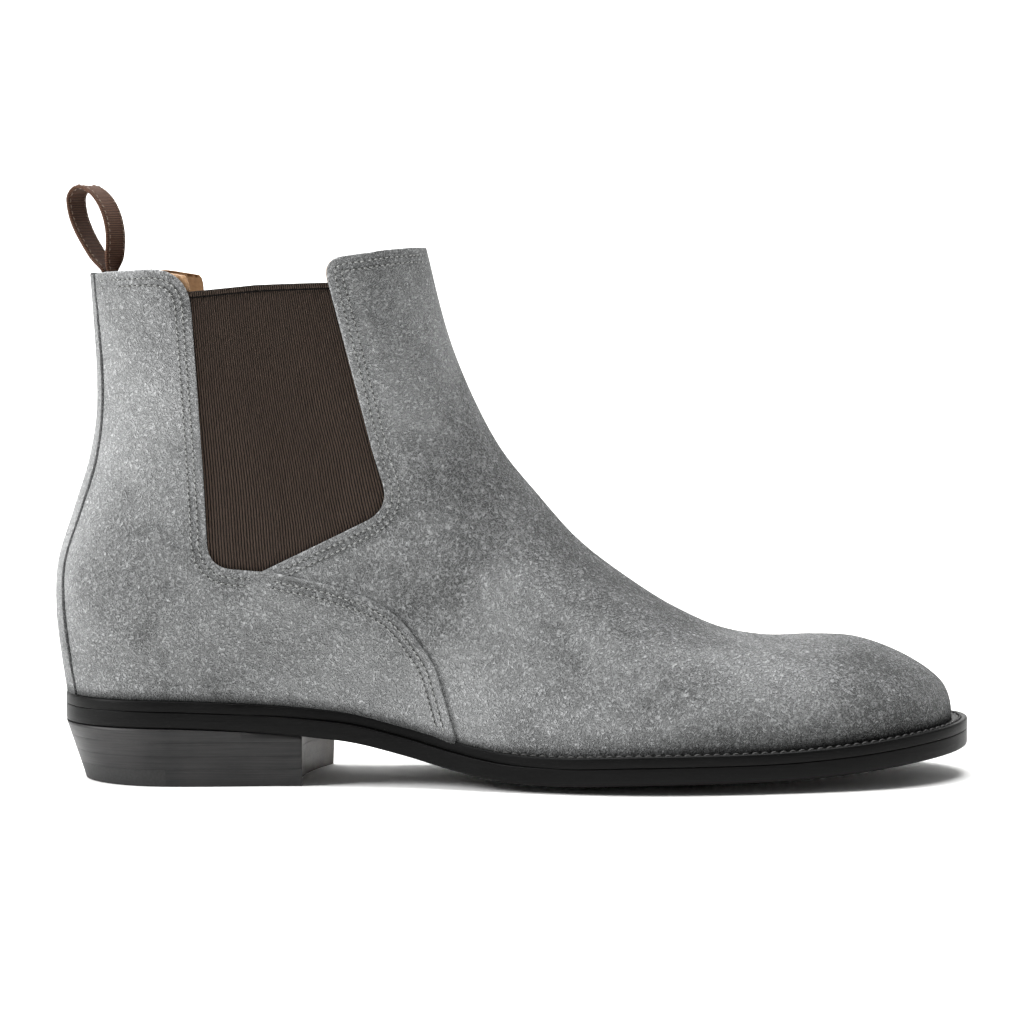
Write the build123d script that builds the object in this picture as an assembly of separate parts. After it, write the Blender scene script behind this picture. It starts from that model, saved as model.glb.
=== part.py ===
"""A welted chelsea boot for the right foot: suede upper, elastic side gores, pull loop and stacked heel.

X runs from the heel to the toe, Z up, and the outer side of the foot is -Y. The curves below are drawn
from the back of the heel on the ground, and place() then moves each piece so that the origin is on the
ground at the middle of the heel's tread.
"""

from build123d import *
import math
import os

import numpy as np

os.makedirs("parts", exist_ok=True)

# ---- Overall sizes (mm) ----
LAST_LENGTH = 300.0  # back of the heel to the toe, along the line where upper and welt meet
SHAFT_HEIGHT = 149.0  # that line at the heel to the top of the front flap
HEEL_HEIGHT = 19.5  # ground to the outsole's underside at the back
TOE_SPRING = 10.2  # ground to the outsole's underside at the toe
INSTEP_HEIGHT = 69.2  # upper above the welt, at the top of the instep
TOE_BOX_HEIGHT = 34.0  # upper above the welt, over the toe box

# ---- Widths of the upper (mm) ----
BALL_WIDTH = 87.0
WAIST_WIDTH = 52.0
HEEL_WIDTH = 60.0
ANKLE_WIDTH = 55.0
SHAFT_WIDTH = 63.0
FOREFOOT_CROWN = 2.4  # how far the sole's edges stand up from its middle at the ball

# ---- Thicknesses (mm) ----
OUTSOLE = 5.9
WELT = 3.7
UPPER = 1.6
MIDDLE = 1.2
LINING = 1.0
INSOLE = 3.2
SOCK = 1.0

# ---- Bottom (mm) ----
WELT_REACH = 5.2  # welt outside the upper, round the forefoot
WAIST_REACH = 2.6
HEEL_REACH = 1.3
WELT_WAIST_TRIM = 1.6  # the welt is cut back from the outsole's edge in the waist
RIB_INSET = 7.0
RIB_THICK = 2.0
SHANK_LENGTH = 96.0
SHANK_WIDTH = 13.0
SHANK_THICK = 1.5

# ---- Heel (mm) ----
HEEL_LENGTH = 80.0  # back to breast, on the centre line
HEEL_BREAST_HOLLOW = 5.0
HEEL_BREAST_SKEW = 9.0  # the inner corner stands this much ahead of the outer one
HEEL_TAPER_BACK = 6.6
HEEL_TAPER_SIDE = 1.8
TOP_PIECE = 5.8
LIFT = 4.6
TIP_LENGTH = 32.0
NAIL_RADIUS = 1.1
NAIL_LENGTH = 24.0
PIN_RADIUS = 0.7
PIN_LENGTH = 9.0

# ---- Gores, strips and loop (mm) ----
GORE_MARGIN = 8.0
GORE_CORNER = 11.0
STRIP_TOP = 19.0
STRIP_BOTTOM = 28.0
QUARTER_CORNER = 15.0
FLAP_CORNER = 9.0
LOOP_WIDTH = 11.0
LOOP_THICK = 1.2
LOOP_TURN = 27.0  # degrees, the loop's plane from the boot's own
LOOP_GAP = 0.35  # from the top edge up to the loop's rounded foot
TAIL_LENGTH = 14.0

# ---- How the last rounds over (mm) ----
SHIN_ROUND = 48.0  # the shaft closes to its front over this length
BACK_ROUND = 35.0  # the heel and shaft close to the back over this length
LEG_RISE = 45.0  # the foot's width gives way to the leg's over this height

STACK = OUTSOLE + WELT
SKIN = UPPER + MIDDLE + LINING
FOLD_RADIUS = LOOP_THICK + 0.1  # of the loop's foot, two ribbons thick
REST_X = (HEEL_TAPER_BACK + HEEL_LENGTH) / 2  # the middle of the heel's tread
BREAST = HEEL_LENGTH + 1  # where the rand meets the welt
FLOOR = -12.0  # the forms' level foot, under the ground
EXTRA = 30.0  # how far cutting shapes run past what they cut


def through(x, stations):
    """A smooth curve through (position, value) stations: a cubic between each two, with shared slopes."""
    at, value = np.array(stations, float).T
    step = np.diff(at)
    rise = np.diff(value) / step
    slope = np.empty_like(value)
    slope[1:-1] = (step[1:] * rise[:-1] + step[:-1] * rise[1:]) / (step[:-1] + step[1:])
    slope[0], slope[-1] = rise[0], rise[-1]
    x = np.asarray(x, float)
    i = np.clip(np.searchsorted(at, x) - 1, 0, len(step) - 1)
    u = np.clip((x - at[i]) / step[i], 0, 1)
    ends = value[i] * (1 + 2 * u) * (1 - u) ** 2 + value[i + 1] * u * u * (3 - 2 * u)
    return ends + step[i] * u * (1 - u) * (slope[i] * (1 - u) - slope[i + 1] * u)


def ease(u):
    """0 below 0, 1 above 1, and smooth between."""
    u = np.clip(u, 0, 1)
    return u * u * (3 - 2 * u)


def along(share):
    """A place along the boot, from a share of the last's length."""
    return share * LAST_LENGTH


# ---- The ground line, the plan outline and the profile ----
def sole_z(x):
    """Height of the outsole's underside on the centre line."""
    h, t = HEEL_HEIGHT, TOE_SPRING
    stations = [(-0.02, h), (0.15, 0.975 * h), (0.267, 0.86 * h), (0.323, 0.76 * h), (0.383, 0.535 * h),
                (0.433, 0.31 * h), (0.483, 0.13 * h), (0.55, 0.02 * h), (0.633, 0), (0.717, 0.04 * t),
                (0.8, 0.17 * t), (0.873, 0.41 * t), (0.95, 0.73 * t), (1.02, t)]
    return through(x, [(along(a), z) for a, z in stations])


def crown(x):
    """How far the sole's edges stand above its middle."""
    stations = [(0.36, 0), (0.48, 0.5), (0.62, 1), (0.77, 1), (0.9, 0.65), (1.02, 0.25)]
    return FOREFOOT_CROWN * through(x, [(along(a), c) for a, c in stations])


def ground(x, y):
    """Height of the outsole's underside."""
    return sole_z(x) + crown(x) * (np.asarray(y) / (BALL_WIDTH / 2)) ** 2


def centre_y(x):
    """The last's own centre line, which bends to the inner side at the toe."""
    stations = [(0, 0), (0.3, 0), (0.5, 0.5), (0.667, 2), (0.833, 4.5), (1, 7)]
    return through(x, [(along(a), y) for a, y in stations])


def foot_half(x, side):
    """Half the upper's width at the welt, from the centre line to that side."""
    heel, waist, ball = HEEL_WIDTH / 2, WAIST_WIDTH / 2, BALL_WIDTH / 2
    if side < 0:
        stations = [(0, heel), (0.15, heel), (0.27, 1.08 * waist), (0.37, 1.14 * waist), (0.483, 0.89 * ball),
                    (0.617, 1.075 * ball), (0.71, 1.08 * ball), (0.8, 1.01 * ball), (0.883, 0.9 * ball),
                    (1, 0.74 * ball)]
    else:
        stations = [(0, heel), (0.15, heel), (0.27, 1.0 * waist), (0.37, 0.87 * waist), (0.483, 0.64 * ball),
                    (0.617, 0.875 * ball), (0.72, 0.95 * ball), (0.817, 0.9 * ball), (0.893, 0.8 * ball),
                    (1, 0.66 * ball)]
    return through(x, [(along(a), w) for a, w in stations]) * toe_round(x)


def toe_round(x):
    """Closes the plan outline at the toe, as a rounded, slightly square end."""
    share = np.clip((np.asarray(x, float) / LAST_LENGTH - 0.84) / 0.16, 0, 1)
    return (1 - share**2.5) ** (1 / 2.1)


def feather(x):
    """Height of the line where the upper meets the welt."""
    half = (foot_half(x, -1) + foot_half(x, 1)) / 2
    return ground(x, half) + STACK


SEAT = float(feather(0.0))
TOP = SEAT + SHAFT_HEIGHT
CEILING = TOP + 14  # the forms run up to this height and are cut at the top line


def back_line():
    """(height, X) stations up the back of the heel and shaft."""
    lower = [(0, 0.4), (11, -1.2), (29, -3.0), (43, -2.4), (61, 3.0)]
    upper = [(79, 8.6), (93, 11.0), (106, 11.3), (121, 10.6), (141, 9.3), (163, 8.0)]
    scale = SHAFT_HEIGHT / 149
    points = [(SEAT + z, x) for z, x in lower] + [(SEAT + 61 + (z - 61) * scale, x) for z, x in upper]
    return [(-EXTRA, 0.4)] + points + [(CEILING + EXTRA, 7.0)]


def ridge_line():
    """(X, Z) points from the toe's tip over the vamp and up the shin."""
    toe = [(1.0, 0.0), (0.9985, 0.17), (0.991, 0.345), (0.977, 0.48), (0.957, 0.615), (0.927, 0.77),
           (0.89, 0.905), (0.843, 0.97), (0.787, 1.0)]
    toe = [(along(a), feather(along(a)) + h * TOE_BOX_HEIGHT) for a, h in toe]
    low = feather(along(0.787)) + TOE_BOX_HEIGHT
    instep = feather(along(0.573)) + INSTEP_HEIGHT
    vamp = [(0.74, 0.07), (0.687, 0.275), (0.627, 0.62), (0.573, 1.0)]
    vamp = [(along(a), low + h * (instep - low)) for a, h in vamp]
    shin = [(0.527, 0.16), (0.4885, 0.31), (0.4585, 0.475), (0.435, 0.65), (0.4175, 0.83), (0.404, 1.0)]
    shin = [(along(a), instep + h * (TOP - instep)) for a, h in shin]
    return toe + vamp + shin + [(along(0.393), CEILING)]


RIDGE = np.array(ridge_line(), float)
RIDGE_RUN = np.r_[0, np.cumsum(np.hypot(*np.diff(RIDGE, axis=0).T))]


def ridge(t):
    """X and Z of the ridge, at a share of its length from the toe."""
    run = np.asarray(t) * RIDGE_RUN[-1]
    return through(run, np.c_[RIDGE_RUN, RIDGE[:, 0]]), through(run, np.c_[RIDGE_RUN, RIDGE[:, 1]])


def half_width(x, z, side):
    """Half the upper's width at a place in side view: nothing on the ridge and at the back."""
    dense = np.array(ridge(np.linspace(0, 1, 2000)))
    base = feather(x)
    height = np.maximum(z - base, 0)
    heel, ankle, shaft = HEEL_WIDTH / 2, ANKLE_WIDTH / 2, SHAFT_WIDTH / 2
    leg = through(height / SHAFT_HEIGHT, [(-1, heel), (0, heel), (0.14, 1.1 * heel), (0.3, 1.06 * heel),
                                          (0.48, ankle), (0.62, ankle), (1, shaft), (2, shaft)])
    in_leg = ease(height / LEG_RISE) * (1 - ease((x / LAST_LENGTH - 0.4) / 0.27))
    wide = foot_half(x, side) * (1 + 0.025 * ease(height / 10)) * (1 - in_leg) + leg * in_leg
    over = np.interp(x, dense[0][::-1], dense[1][::-1])
    above = np.clip((over - z) / np.maximum(over - base, 1e-6), 0, 1)
    roundness = 1.8 + 0.6 * ease((x / LAST_LENGTH - 0.55) / 0.3)
    foot_end = np.sqrt(1 - (1 - above) ** roundness)
    shin = dense[:, dense[0] < along(0.74)]
    ahead = np.interp(z, shin[1], shin[0]) - x
    shaft_end = np.sqrt(1 - (1 - np.clip(ahead / SHIN_ROUND, 0, 1)) ** 2)
    in_foot = ease((x / LAST_LENGTH - 0.404) / 0.24)
    behind = x - through(z, back_line())
    heel_end = np.sqrt(1 - (1 - np.clip(behind / BACK_ROUND, 0, 1)) ** 2.2)
    return wide * heel_end * (shaft_end * (1 - in_foot) + foot_end * in_foot)


def skin_point(around, up):
    """A point of the upper's outside: around 0 to 1 from the back by the outer side to the ridge, and 1 to 2
    back by the inner side; up 0 at the welt to 1 at the ceiling. In side view it runs between four edges,
    the back, the ridge, the welt line and the ceiling, and dips below the ridge over the forefoot."""
    turn = np.pi * np.asarray(around, float)
    s = (1 - np.cos(turn)) / 2
    t = np.asarray(up, float)
    rx, rz = ridge(0.75 * t + 0.25 * t**2)
    bz = SEAT + t**1.15 * (CEILING - SEAT)
    bx = through(bz, back_line())
    x0, x1 = through(SEAT, back_line()), RIDGE[0, 0]
    fx = x0 + s * (x1 - x0)
    sag = feather(fx) - (SEAT + s * (feather(x1) - SEAT))
    x = (1 - s) * bx + s * rx
    z = (1 - s) * bz + s * rz + (1 - t) * sag
    dip = 3.6 * s**4 * (1 - s) * (1 - ease((t - 0.2) / 0.5)) * ease(t / 0.08)
    z = z - dip * np.maximum(z - feather(x), 0)
    out = np.where(np.sin(turn) >= 0, half_width(x, z, -1), half_width(x, z, 1))
    return np.stack([x, centre_y(x) - np.sign(np.sin(turn)) * out, z], -1)


AROUND = np.linspace(0, 2, 44, endpoint=False)
ROWS = np.array([0, 0.06, 0.115, 0.17, 0.22, 0.27, 0.33, 0.39, 0.46, 0.53, 0.6, 0.68, 0.76, 0.84, 0.92, 1.0])
WALL_ROWS = np.array([1, 0.8, 0.6, 0.4, 0.2])  # under the welt line the forms go straight down


def outward(around, up, step=0.004):
    """The upper's outward direction at a point."""
    across = skin_point(around + step, up) - skin_point(around - step, up)
    rising = skin_point(around, np.minimum(up + step, 1)) - skin_point(around, np.maximum(up - step, 0))
    n = np.cross(across, rising)
    return n / np.linalg.norm(n, axis=-1, keepdims=True)


def level_outward(around, up):
    """The same, turned level."""
    n = outward(around, up) * [1, 1, 0]
    return n / np.linalg.norm(n, axis=-1, keepdims=True)


def closed_curve(points):
    """A smooth closed wire through points."""
    share = list(np.linspace(0, 1, len(points) + 1))
    places = [Vector(*map(float, p)) for p in points]
    return Wire([Edge.make_spline(places, periodic=True, parameters=share)])


def form(depth):
    """The space inside the upper, this deep under its outside."""
    foot = skin_point(AROUND, 0 * AROUND) - level_outward(AROUND, 0 * AROUND) * depth
    floor = FLOOR - 2 * depth
    loops = [foot + (share * (floor - foot[:, 2]))[:, None] * [0, 0, 1] for share in WALL_ROWS] + [foot]
    for up in ROWS[1:]:
        turn = level_outward if up == 1 else outward
        loops.append(skin_point(AROUND, up + 0 * AROUND) - turn(AROUND, up + 0 * AROUND) * depth)
    loops.append(loops[-1] + [0, 0, 8 + 2 * depth])
    return Solid.make_loft([closed_curve(loop) for loop in loops])


def above(level):
    """Everything above the outsole's underside raised by level."""
    xs = np.linspace(-EXTRA, LAST_LENGTH + EXTRA, 41)
    ys = np.linspace(-BALL_WIDTH, BALL_WIDTH, 9)
    grid = [[Vector(x, y, float(ground(x, y)) + level) for y in ys] for x in xs]
    surface = Face.make_surface_from_array_of_points(grid, tol=0.001)
    return extrude(surface, amount=TOP + EXTRA, dir=(0, 0, 1))


def slab(x0, x1, y0, y1, z0, z1):
    """A box between these places."""
    return Pos((x0 + x1) / 2, (y0 + y1) / 2, (z0 + z1) / 2) * Box(x1 - x0, y1 - y0, z1 - z0)


def grouped(found):
    """One solid, or several as a group."""
    return found[0] if len(found) == 1 else Compound(children=found)


def larger(shape, least=2.0):
    """Drops slivers under this volume that a cut leaves."""
    return grouped([s for s in shape.solids() if s.volume > least])


def place(shape):
    """The piece in the boot's own frame, with the origin under the middle of the heel's tread."""
    return grouped([Pos(-REST_X, 0, 0) * s for s in shape.solids()])


# ---- Outlines in side view, used to cut the layers into pieces ----
def height(share):
    """A height from the heel's welt line, as a share of the shaft's height."""
    return SEAT + share * SHAFT_HEIGHT


def side_prism(points, radii, y0=-BALL_WIDTH, y1=BALL_WIDTH):
    """The outline through (X, Z) points with rounded corners, stretched across the boot."""
    corners = [Vector(x, y0, z) for x, z in points]
    wire = Wire(FilletPolyline(*corners, radius=radii, close=True).edges())
    return extrude(Face(wire), amount=y1 - y0, dir=(0, 1, 0))


def gore_corners(margin=0.0):
    """The gore's window in side view, or its outline with a margin round the window."""
    foot_rear = (along(0.1645) - margin, height(0.292) - margin)
    foot = (along(0.2233), height(0.281) - 1.2 * margin)
    foot_front = (along(0.3683) + 1.2 * margin, height(0.4225) - 0.6 * margin)
    front = (along(0.3483) + margin, height(0.55))
    top = CEILING + EXTRA
    lean = (along(0.3483) - along(0.3)) / (height(0.9325) - height(0.55))
    rear_lean = (along(0.1645) - along(0.1463)) / (height(0.879) - height(0.292))
    rear_top = (foot_rear[0] - rear_lean * (top - foot_rear[1]), top)
    front_top = (front[0] - lean * (top - front[1]), top)
    return [rear_top, foot_rear, foot, foot_front, front, front_top]


def gore_prism(margin=0.0):
    """The gore's window, stretched across."""
    radii = [2, GORE_CORNER, GORE_CORNER, GORE_CORNER, 4 * GORE_CORNER, 2]
    return side_prism(gore_corners(margin), radii)


def front_prism():
    """All that is ahead of the seam where the quarters lie on the vamp, and of the gore's middle."""
    seam = [(0.2267, 0.3), (0.2333, 0.283), (0.297, 0.256), (0.368, 0.207), (0.413, 0.08), (0.437, -0.03)]
    seam = [(along(a), height(h)) for a, h in seam] + [(along(0.453), FLOOR - EXTRA)]
    corners = [(along(0.2267), CEILING + EXTRA)] + seam
    corners += [(LAST_LENGTH + EXTRA, FLOOR - EXTRA), (LAST_LENGTH + EXTRA, CEILING + EXTRA)]
    return side_prism(corners, [1, 1, 1, 40, 25, 40, 25, 1, 1, 1])


def above_quarters():
    """All that is over the quarters' top edge and its rounded front corner."""
    slack = 0.4
    rear_top, foot_rear = gore_corners()[:2]
    lean = (foot_rear[0] - rear_top[0]) / (rear_top[1] - foot_rear[1])
    edge = foot_rear[0] - lean * (height(0.955) - foot_rear[1]) + slack
    corners = [(-EXTRA, height(0.942)), (along(0.03), height(0.942)), (edge, height(0.955)),
               (edge + lean * 30, height(0.955) - 30), (along(0.22), height(0.955) - 30),
               (along(0.22), CEILING + EXTRA), (-EXTRA, CEILING + EXTRA)]
    return side_prism(corners, [1, 20, QUARTER_CORNER, 1, 1, 1, 1])


def above_flap():
    """All that is over the front flap's top edge and its rounded rear corner."""
    slack = 0.4
    front, front_top = gore_corners()[4:]
    lean = (front[0] - front_top[0]) / (front_top[1] - front[1])
    corner, down = height(0.975), 25
    edge = front[0] - lean * (corner - front[1]) - slack
    corners = [(along(0.22), CEILING + EXTRA), (along(0.22), corner - down),
               (edge + lean * down, corner - down), (edge, corner), (along(0.332), height(0.984)),
               (along(0.362), height(0.995)), (along(0.39), height(1.0)), (LAST_LENGTH, height(1.0)),
               (LAST_LENGTH, CEILING + EXTRA)]
    return side_prism(corners, [1, 1, 1, FLAP_CORNER, 20, 20, 20, 1, 1])


def above_gore():
    """All that is over the gore's top edge."""
    corners = [(-EXTRA, height(0.886)), (along(0.145), height(0.9)), (along(0.22), height(0.917)),
               (along(0.302), height(0.923)), (LAST_LENGTH, height(0.925)), (LAST_LENGTH, CEILING + EXTRA),
               (-EXTRA, CEILING + EXTRA)]
    return side_prism(corners, [1, 30, 60, 60, 1, 1, 1])


def strip_prism(top, bottom):
    """A strip down the back of the boot, of these widths at the top and at the welt."""
    corners = [(-bottom / 2, FLOOR), (bottom / 2, FLOOR), (bottom / 2, SEAT), (bottom / 2, height(0.18)),
               (top / 2, height(0.62)), (top / 2, CEILING), (-top / 2, CEILING), (-top / 2, height(0.62)),
               (-bottom / 2, height(0.18)), (-bottom / 2, SEAT)]
    wire = Wire.make_polygon([Vector(-EXTRA, y, z) for y, z in corners])
    return extrude(Face(wire), amount=EXTRA + along(0.16), dir=(1, 0, 0))


# ---- Outlines in plan, for the bottom ----
def reach(x, waist, heel=HEEL_REACH):
    """How far a bottom piece stands out from the upper: at the heel, the waist and the forefoot."""
    return through(x, [(along(a), r) for a, r in [(-0.02, heel), (0.2, heel), (0.3, waist), (0.42, waist),
                                                  (0.56, WELT_REACH), (1.02, WELT_REACH)]])


def plan_points(out):
    """The plan outline at the welt, moved outward by out, a number or a function of X."""
    foot = skin_point(AROUND, 0 * AROUND)
    by = out(foot[:, 0]) if callable(out) else out + 0 * AROUND
    return foot + level_outward(AROUND, 0 * AROUND) * by[:, None]


def plan_prism(out):
    """The plan outline, moved outward by out, stood up from below the ground to over the insole."""
    flat = plan_points(out) * [1, 1, 0] + [0, 0, FLOOR]
    return extrude(Face(closed_curve(flat)), amount=SEAT + 4 * STACK, dir=(0, 0, 1))


LEVELS = {"sole": 0.0, "welt": OUTSOLE, "upper": STACK, "middle": STACK + UPPER,
          "lining": STACK + UPPER + MIDDLE, "insole": STACK + SKIN, "sock": STACK + SKIN + INSOLE,
          "foot": STACK + SKIN + INSOLE + SOCK}
OVER = {name: above(level) for name, level in LEVELS.items()}
DEPTHS = {"upper": 0.0, "middle": UPPER, "lining": UPPER + MIDDLE, "insole": SKIN}
WITHIN = {name: form(depth) & OVER[name] for name, depth in DEPTHS.items()}
CORE = plan_prism(-RIB_INSET) - OVER["insole"]


def layer(name, under):
    """One layer of the upper, with its margin turned in under the insole as far as the rib."""
    return WITHIN[name] - WITHIN[under] - CORE


PIECES = {}
GORE = gore_prism()
GORE_WIDE = gore_prism(GORE_MARGIN)
FRONT = front_prism()
OVER_QUARTERS = above_quarters()
OVER_FLAP = above_flap()
OVER_GORE = above_gore()
OUTER_SIDE = slab(-EXTRA, LAST_LENGTH + EXTRA, -BALL_WIDTH, 0, FLOOR, CEILING + EXTRA)
INNER_SIDE = slab(-EXTRA, LAST_LENGTH + EXTRA, 0, BALL_WIDTH, FLOOR, CEILING + EXTRA)


def make_leather():
    """The suede: a vamp in one piece over the instep, two quarters, and the strip over the back seam."""
    outer = layer("upper", "middle") - GORE
    strip = strip_prism(STRIP_TOP, STRIP_BOTTOM)
    front = (outer & FRONT) - OVER_FLAP
    rear = outer - FRONT - OVER_QUARTERS
    PIECES["backstay"] = larger(rear & strip)
    quarters = rear - strip
    PIECES["quarter_lateral"] = larger(quarters & OUTER_SIDE)
    PIECES["quarter_medial"] = larger(quarters & INNER_SIDE)
    return front


def make_middle(front):
    """Under the suede: the elastic, the stiffeners, the fabric backing and the vamp's lap."""
    whole = layer("middle", "lining")
    gores = (whole & GORE_WIDE) - OVER_GORE
    PIECES["gore_lateral"] = larger(gores & OUTER_SIDE)
    PIECES["gore_medial"] = larger(gores & INNER_SIDE)
    rest = whole - GORE_WIDE
    lap = (rest & (Pos(-5, 0, -5) * FRONT)) - (Pos(2.5, 0, 2.5) * FRONT)
    PIECES["vamp"] = larger(front + lap)
    ahead = (rest & (Pos(2.5, 0, 2.5) * FRONT)) - OVER_FLAP
    behind = rest - (Pos(-5, 0, -5) * FRONT) - OVER_QUARTERS
    toe = slab(along(0.85), LAST_LENGTH + EXTRA, -BALL_WIDTH, BALL_WIDTH, FLOOR, SEAT + TOE_BOX_HEIGHT)
    PIECES["toe_puff"] = larger(ahead & toe)
    PIECES["vamp_interlining"] = larger(ahead - toe)
    outline = [(-EXTRA, FLOOR - 5), (along(0.3), FLOOR - 5), (along(0.28), SEAT + 4),
               (along(0.2), height(0.15)), (-EXTRA, height(0.36))]
    counter = side_prism(outline, [1, 1, 20, 20, 1])
    PIECES["heel_counter"] = larger(behind & counter)
    PIECES["quarter_interlining"] = larger(behind - counter)


def make_lining():
    """The lining: one piece under the vamp and one round the quarters, open behind the gores, with the
    pull loop's ends sewn on inside it at the back."""
    whole = layer("lining", "insole") - GORE
    PIECES["vamp_lining"] = larger((whole & FRONT) - OVER_FLAP)
    PIECES["quarter_lining"] = larger(whole - FRONT - OVER_QUARTERS)
    rim = height(0.942)
    tails = slab(-EXTRA, along(0.1), -LOOP_WIDTH / 2, LOOP_WIDTH / 2, rim - TAIL_LENGTH, rim)
    PIECES["pull_loop_tails"] = larger((WITHIN["insole"] & tails) - form(SKIN + 2 * LOOP_THICK))



def heel_points(drop):
    """The heel's plan outline from breast corner to breast corner by the back, and its breast's middle.
    drop is 0 under the outsole and 1 on the ground, where the heel has tapered in."""
    edge = plan_points(HEEL_REACH)[:, :2]
    side_in = 1 - drop * HEEL_TAPER_SIDE / (HEEL_WIDTH / 2)
    outer_x, inner_x = HEEL_LENGTH + 0.5, HEEL_LENGTH + HEEL_BREAST_SKEW
    outer = edge[(AROUND < 1) & (edge[:, 0] < outer_x - 3)]
    inner = edge[(AROUND > 1) & (edge[:, 0] < inner_x - 3)]
    outer_y = np.interp(outer_x, *edge[AROUND < 1].T)
    inner_y = np.interp(inner_x, *edge[AROUND > 1][::-1].T)
    line = np.vstack([[inner_x, inner_y], inner, outer, [outer_x, outer_y]])
    hollow = np.array([(outer_x + inner_x) / 2 - HEEL_BREAST_HOLLOW, (outer_y + inner_y) / 2])
    back = line[:, 0].min()
    places = np.vstack([line, hollow])
    forward = drop * HEEL_TAPER_BACK * (1 - (places[:, 0] - back) / HEEL_LENGTH)
    places = np.stack([places[:, 0] + forward, places[:, 1] * side_in], -1)
    return places[:-1], places[-1]


def heel_wire(z, drop):
    """The heel's outline at a height."""
    line, hollow = heel_points(drop)
    line = [Vector(float(x), float(y), z) for x, y in line]
    middle = Vector(*map(float, hollow), z)
    return Wire([Edge.make_spline(line), Edge.make_three_point_arc(line[-1], middle, line[0])])


def make_heel():
    """The stack: a top piece with a rubber tip at the back, two level lifts and a wedge under the sole."""
    wires = [heel_wire(0.0, 1), heel_wire(HEEL_HEIGHT + LIFT, -LIFT / HEEL_HEIGHT)]
    block = Solid.make_loft(wires, ruled=True)
    block = block - OVER["sole"]
    wide = (-EXTRA, LAST_LENGTH, -BALL_WIDTH, BALL_WIDTH)
    seams = [0, TOP_PIECE, TOP_PIECE + LIFT, TOP_PIECE + 2 * LIFT, HEEL_HEIGHT + LIFT]
    cuts = [block & slab(*wide, z0, z1) for z0, z1 in zip(seams, seams[1:])]
    tip_bow = 2.2 * HEEL_WIDTH
    tip_zone = Pos(TIP_LENGTH + HEEL_TAPER_BACK - tip_bow, 0, 0) * Cylinder(tip_bow, 4 * LIFT)
    PIECES["rubber_heel_tip"] = larger(cuts[0] & tip_zone)
    PIECES["top_piece"] = larger(cuts[0] - tip_zone)
    PIECES["heel_lift_bottom"], PIECES["heel_lift_middle"], PIECES["heel_lift_top"] = map(larger, cuts[1:])


def make_bottom():
    """Outsole, welt and rand, insole and rib, the fillers and the shank between them, the sock liner."""
    PIECES["outsole"] = larger((plan_prism(lambda x: reach(x, WAIST_REACH)) & OVER["sole"]) - OVER["welt"])
    trim = WAIST_REACH - WELT_WAIST_TRIM
    welt = (plan_prism(lambda x: reach(x, trim)) & OVER["welt"]) - OVER["upper"] - CORE
    rear = slab(-EXTRA, BREAST, -BALL_WIDTH, BALL_WIDTH, FLOOR, CEILING)
    PIECES["heel_rand"] = larger(welt & rear)
    PIECES["welt"] = larger(welt - rear)
    PIECES["insole"] = larger(WITHIN["insole"] - OVER["sock"])
    PIECES["sock_liner"] = larger((WITHIN["insole"] & OVER["sock"]) - OVER["foot"])
    inside = (plan_prism(-RIB_INSET) & OVER["welt"]) - OVER["insole"]
    hollow = plan_prism(-RIB_INSET - RIB_THICK)
    PIECES["insole_rib"] = larger(inside - hollow - rear)
    middle = (LEVELS["welt"] + LEVELS["insole"]) / 2
    bar = slab(along(0.17), along(0.17) + SHANK_LENGTH, -SHANK_WIDTH / 2, SHANK_WIDTH / 2, FLOOR, CEILING)
    shank = (bar & above(middle - SHANK_THICK / 2)) - above(middle + SHANK_THICK / 2)
    PIECES["shank"] = larger(shank)
    PIECES["heel_seat_filler"] = larger((inside & rear) - shank)
    PIECES["cork_filler"] = larger((inside & hollow) - rear - shank)


def ring_places(inset, count, first, last, drop):
    """Places round the heel, inset from its edge, from a first to a last share of the way round it."""
    line = np.array(heel_points(drop)[0])
    run = np.r_[0, np.cumsum(np.hypot(*np.diff(line, axis=0).T))]
    middle = np.array([HEEL_LENGTH / 2, 0])
    places = []
    for share in np.linspace(first, last, count):
        at = np.array([np.interp(share * run[-1], run, line[:, i]) for i in (0, 1)])
        places.append(at + (middle - at) / np.linalg.norm(middle - at) * inset)
    return places


def drill(pins, names):
    """Cuts the pins' holes in these pieces."""
    for name in names:
        PIECES[name] = larger(PIECES[name] - pins)


def make_nails():
    """Brass nails down through the heel seat, and pins up through the top piece."""
    nails = []
    for x, y in ring_places(14, 7, 0.12, 0.88, 0):
        head = float(ground(x, y)) + LEVELS["sock"]
        nails.append(Pos(x, y, head - NAIL_LENGTH / 2 - 0.2) * Cylinder(NAIL_RADIUS, NAIL_LENGTH))
    drill(nails, ["insole", "heel_seat_filler", "outsole", "heel_lift_top", "heel_lift_middle"])
    PIECES["heel_nails"] = grouped(nails)
    pins = []
    for x, y in ring_places(5, 11, 0.06, 0.94, 1):
        pins.append(Pos(x, y, 0.2 + PIN_LENGTH / 2) * Cylinder(PIN_RADIUS, PIN_LENGTH))
    drill(pins, ["top_piece", "rubber_heel_tip", "heel_lift_bottom"])
    PIECES["top_piece_pins"] = grouped(pins)


def loop_place(out, up):
    """A point in the loop's own plane: out towards the front and outer side, up from its fold line."""
    turn = math.radians(LOOP_TURN)
    back = float(through(height(0.942), back_line())) + SKIN + 1.5 * LOOP_THICK
    fold = height(0.942) + LOOP_GAP + FOLD_RADIUS
    return Vector(back + out * math.cos(turn), -out * math.sin(turn), fold + up)


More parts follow.
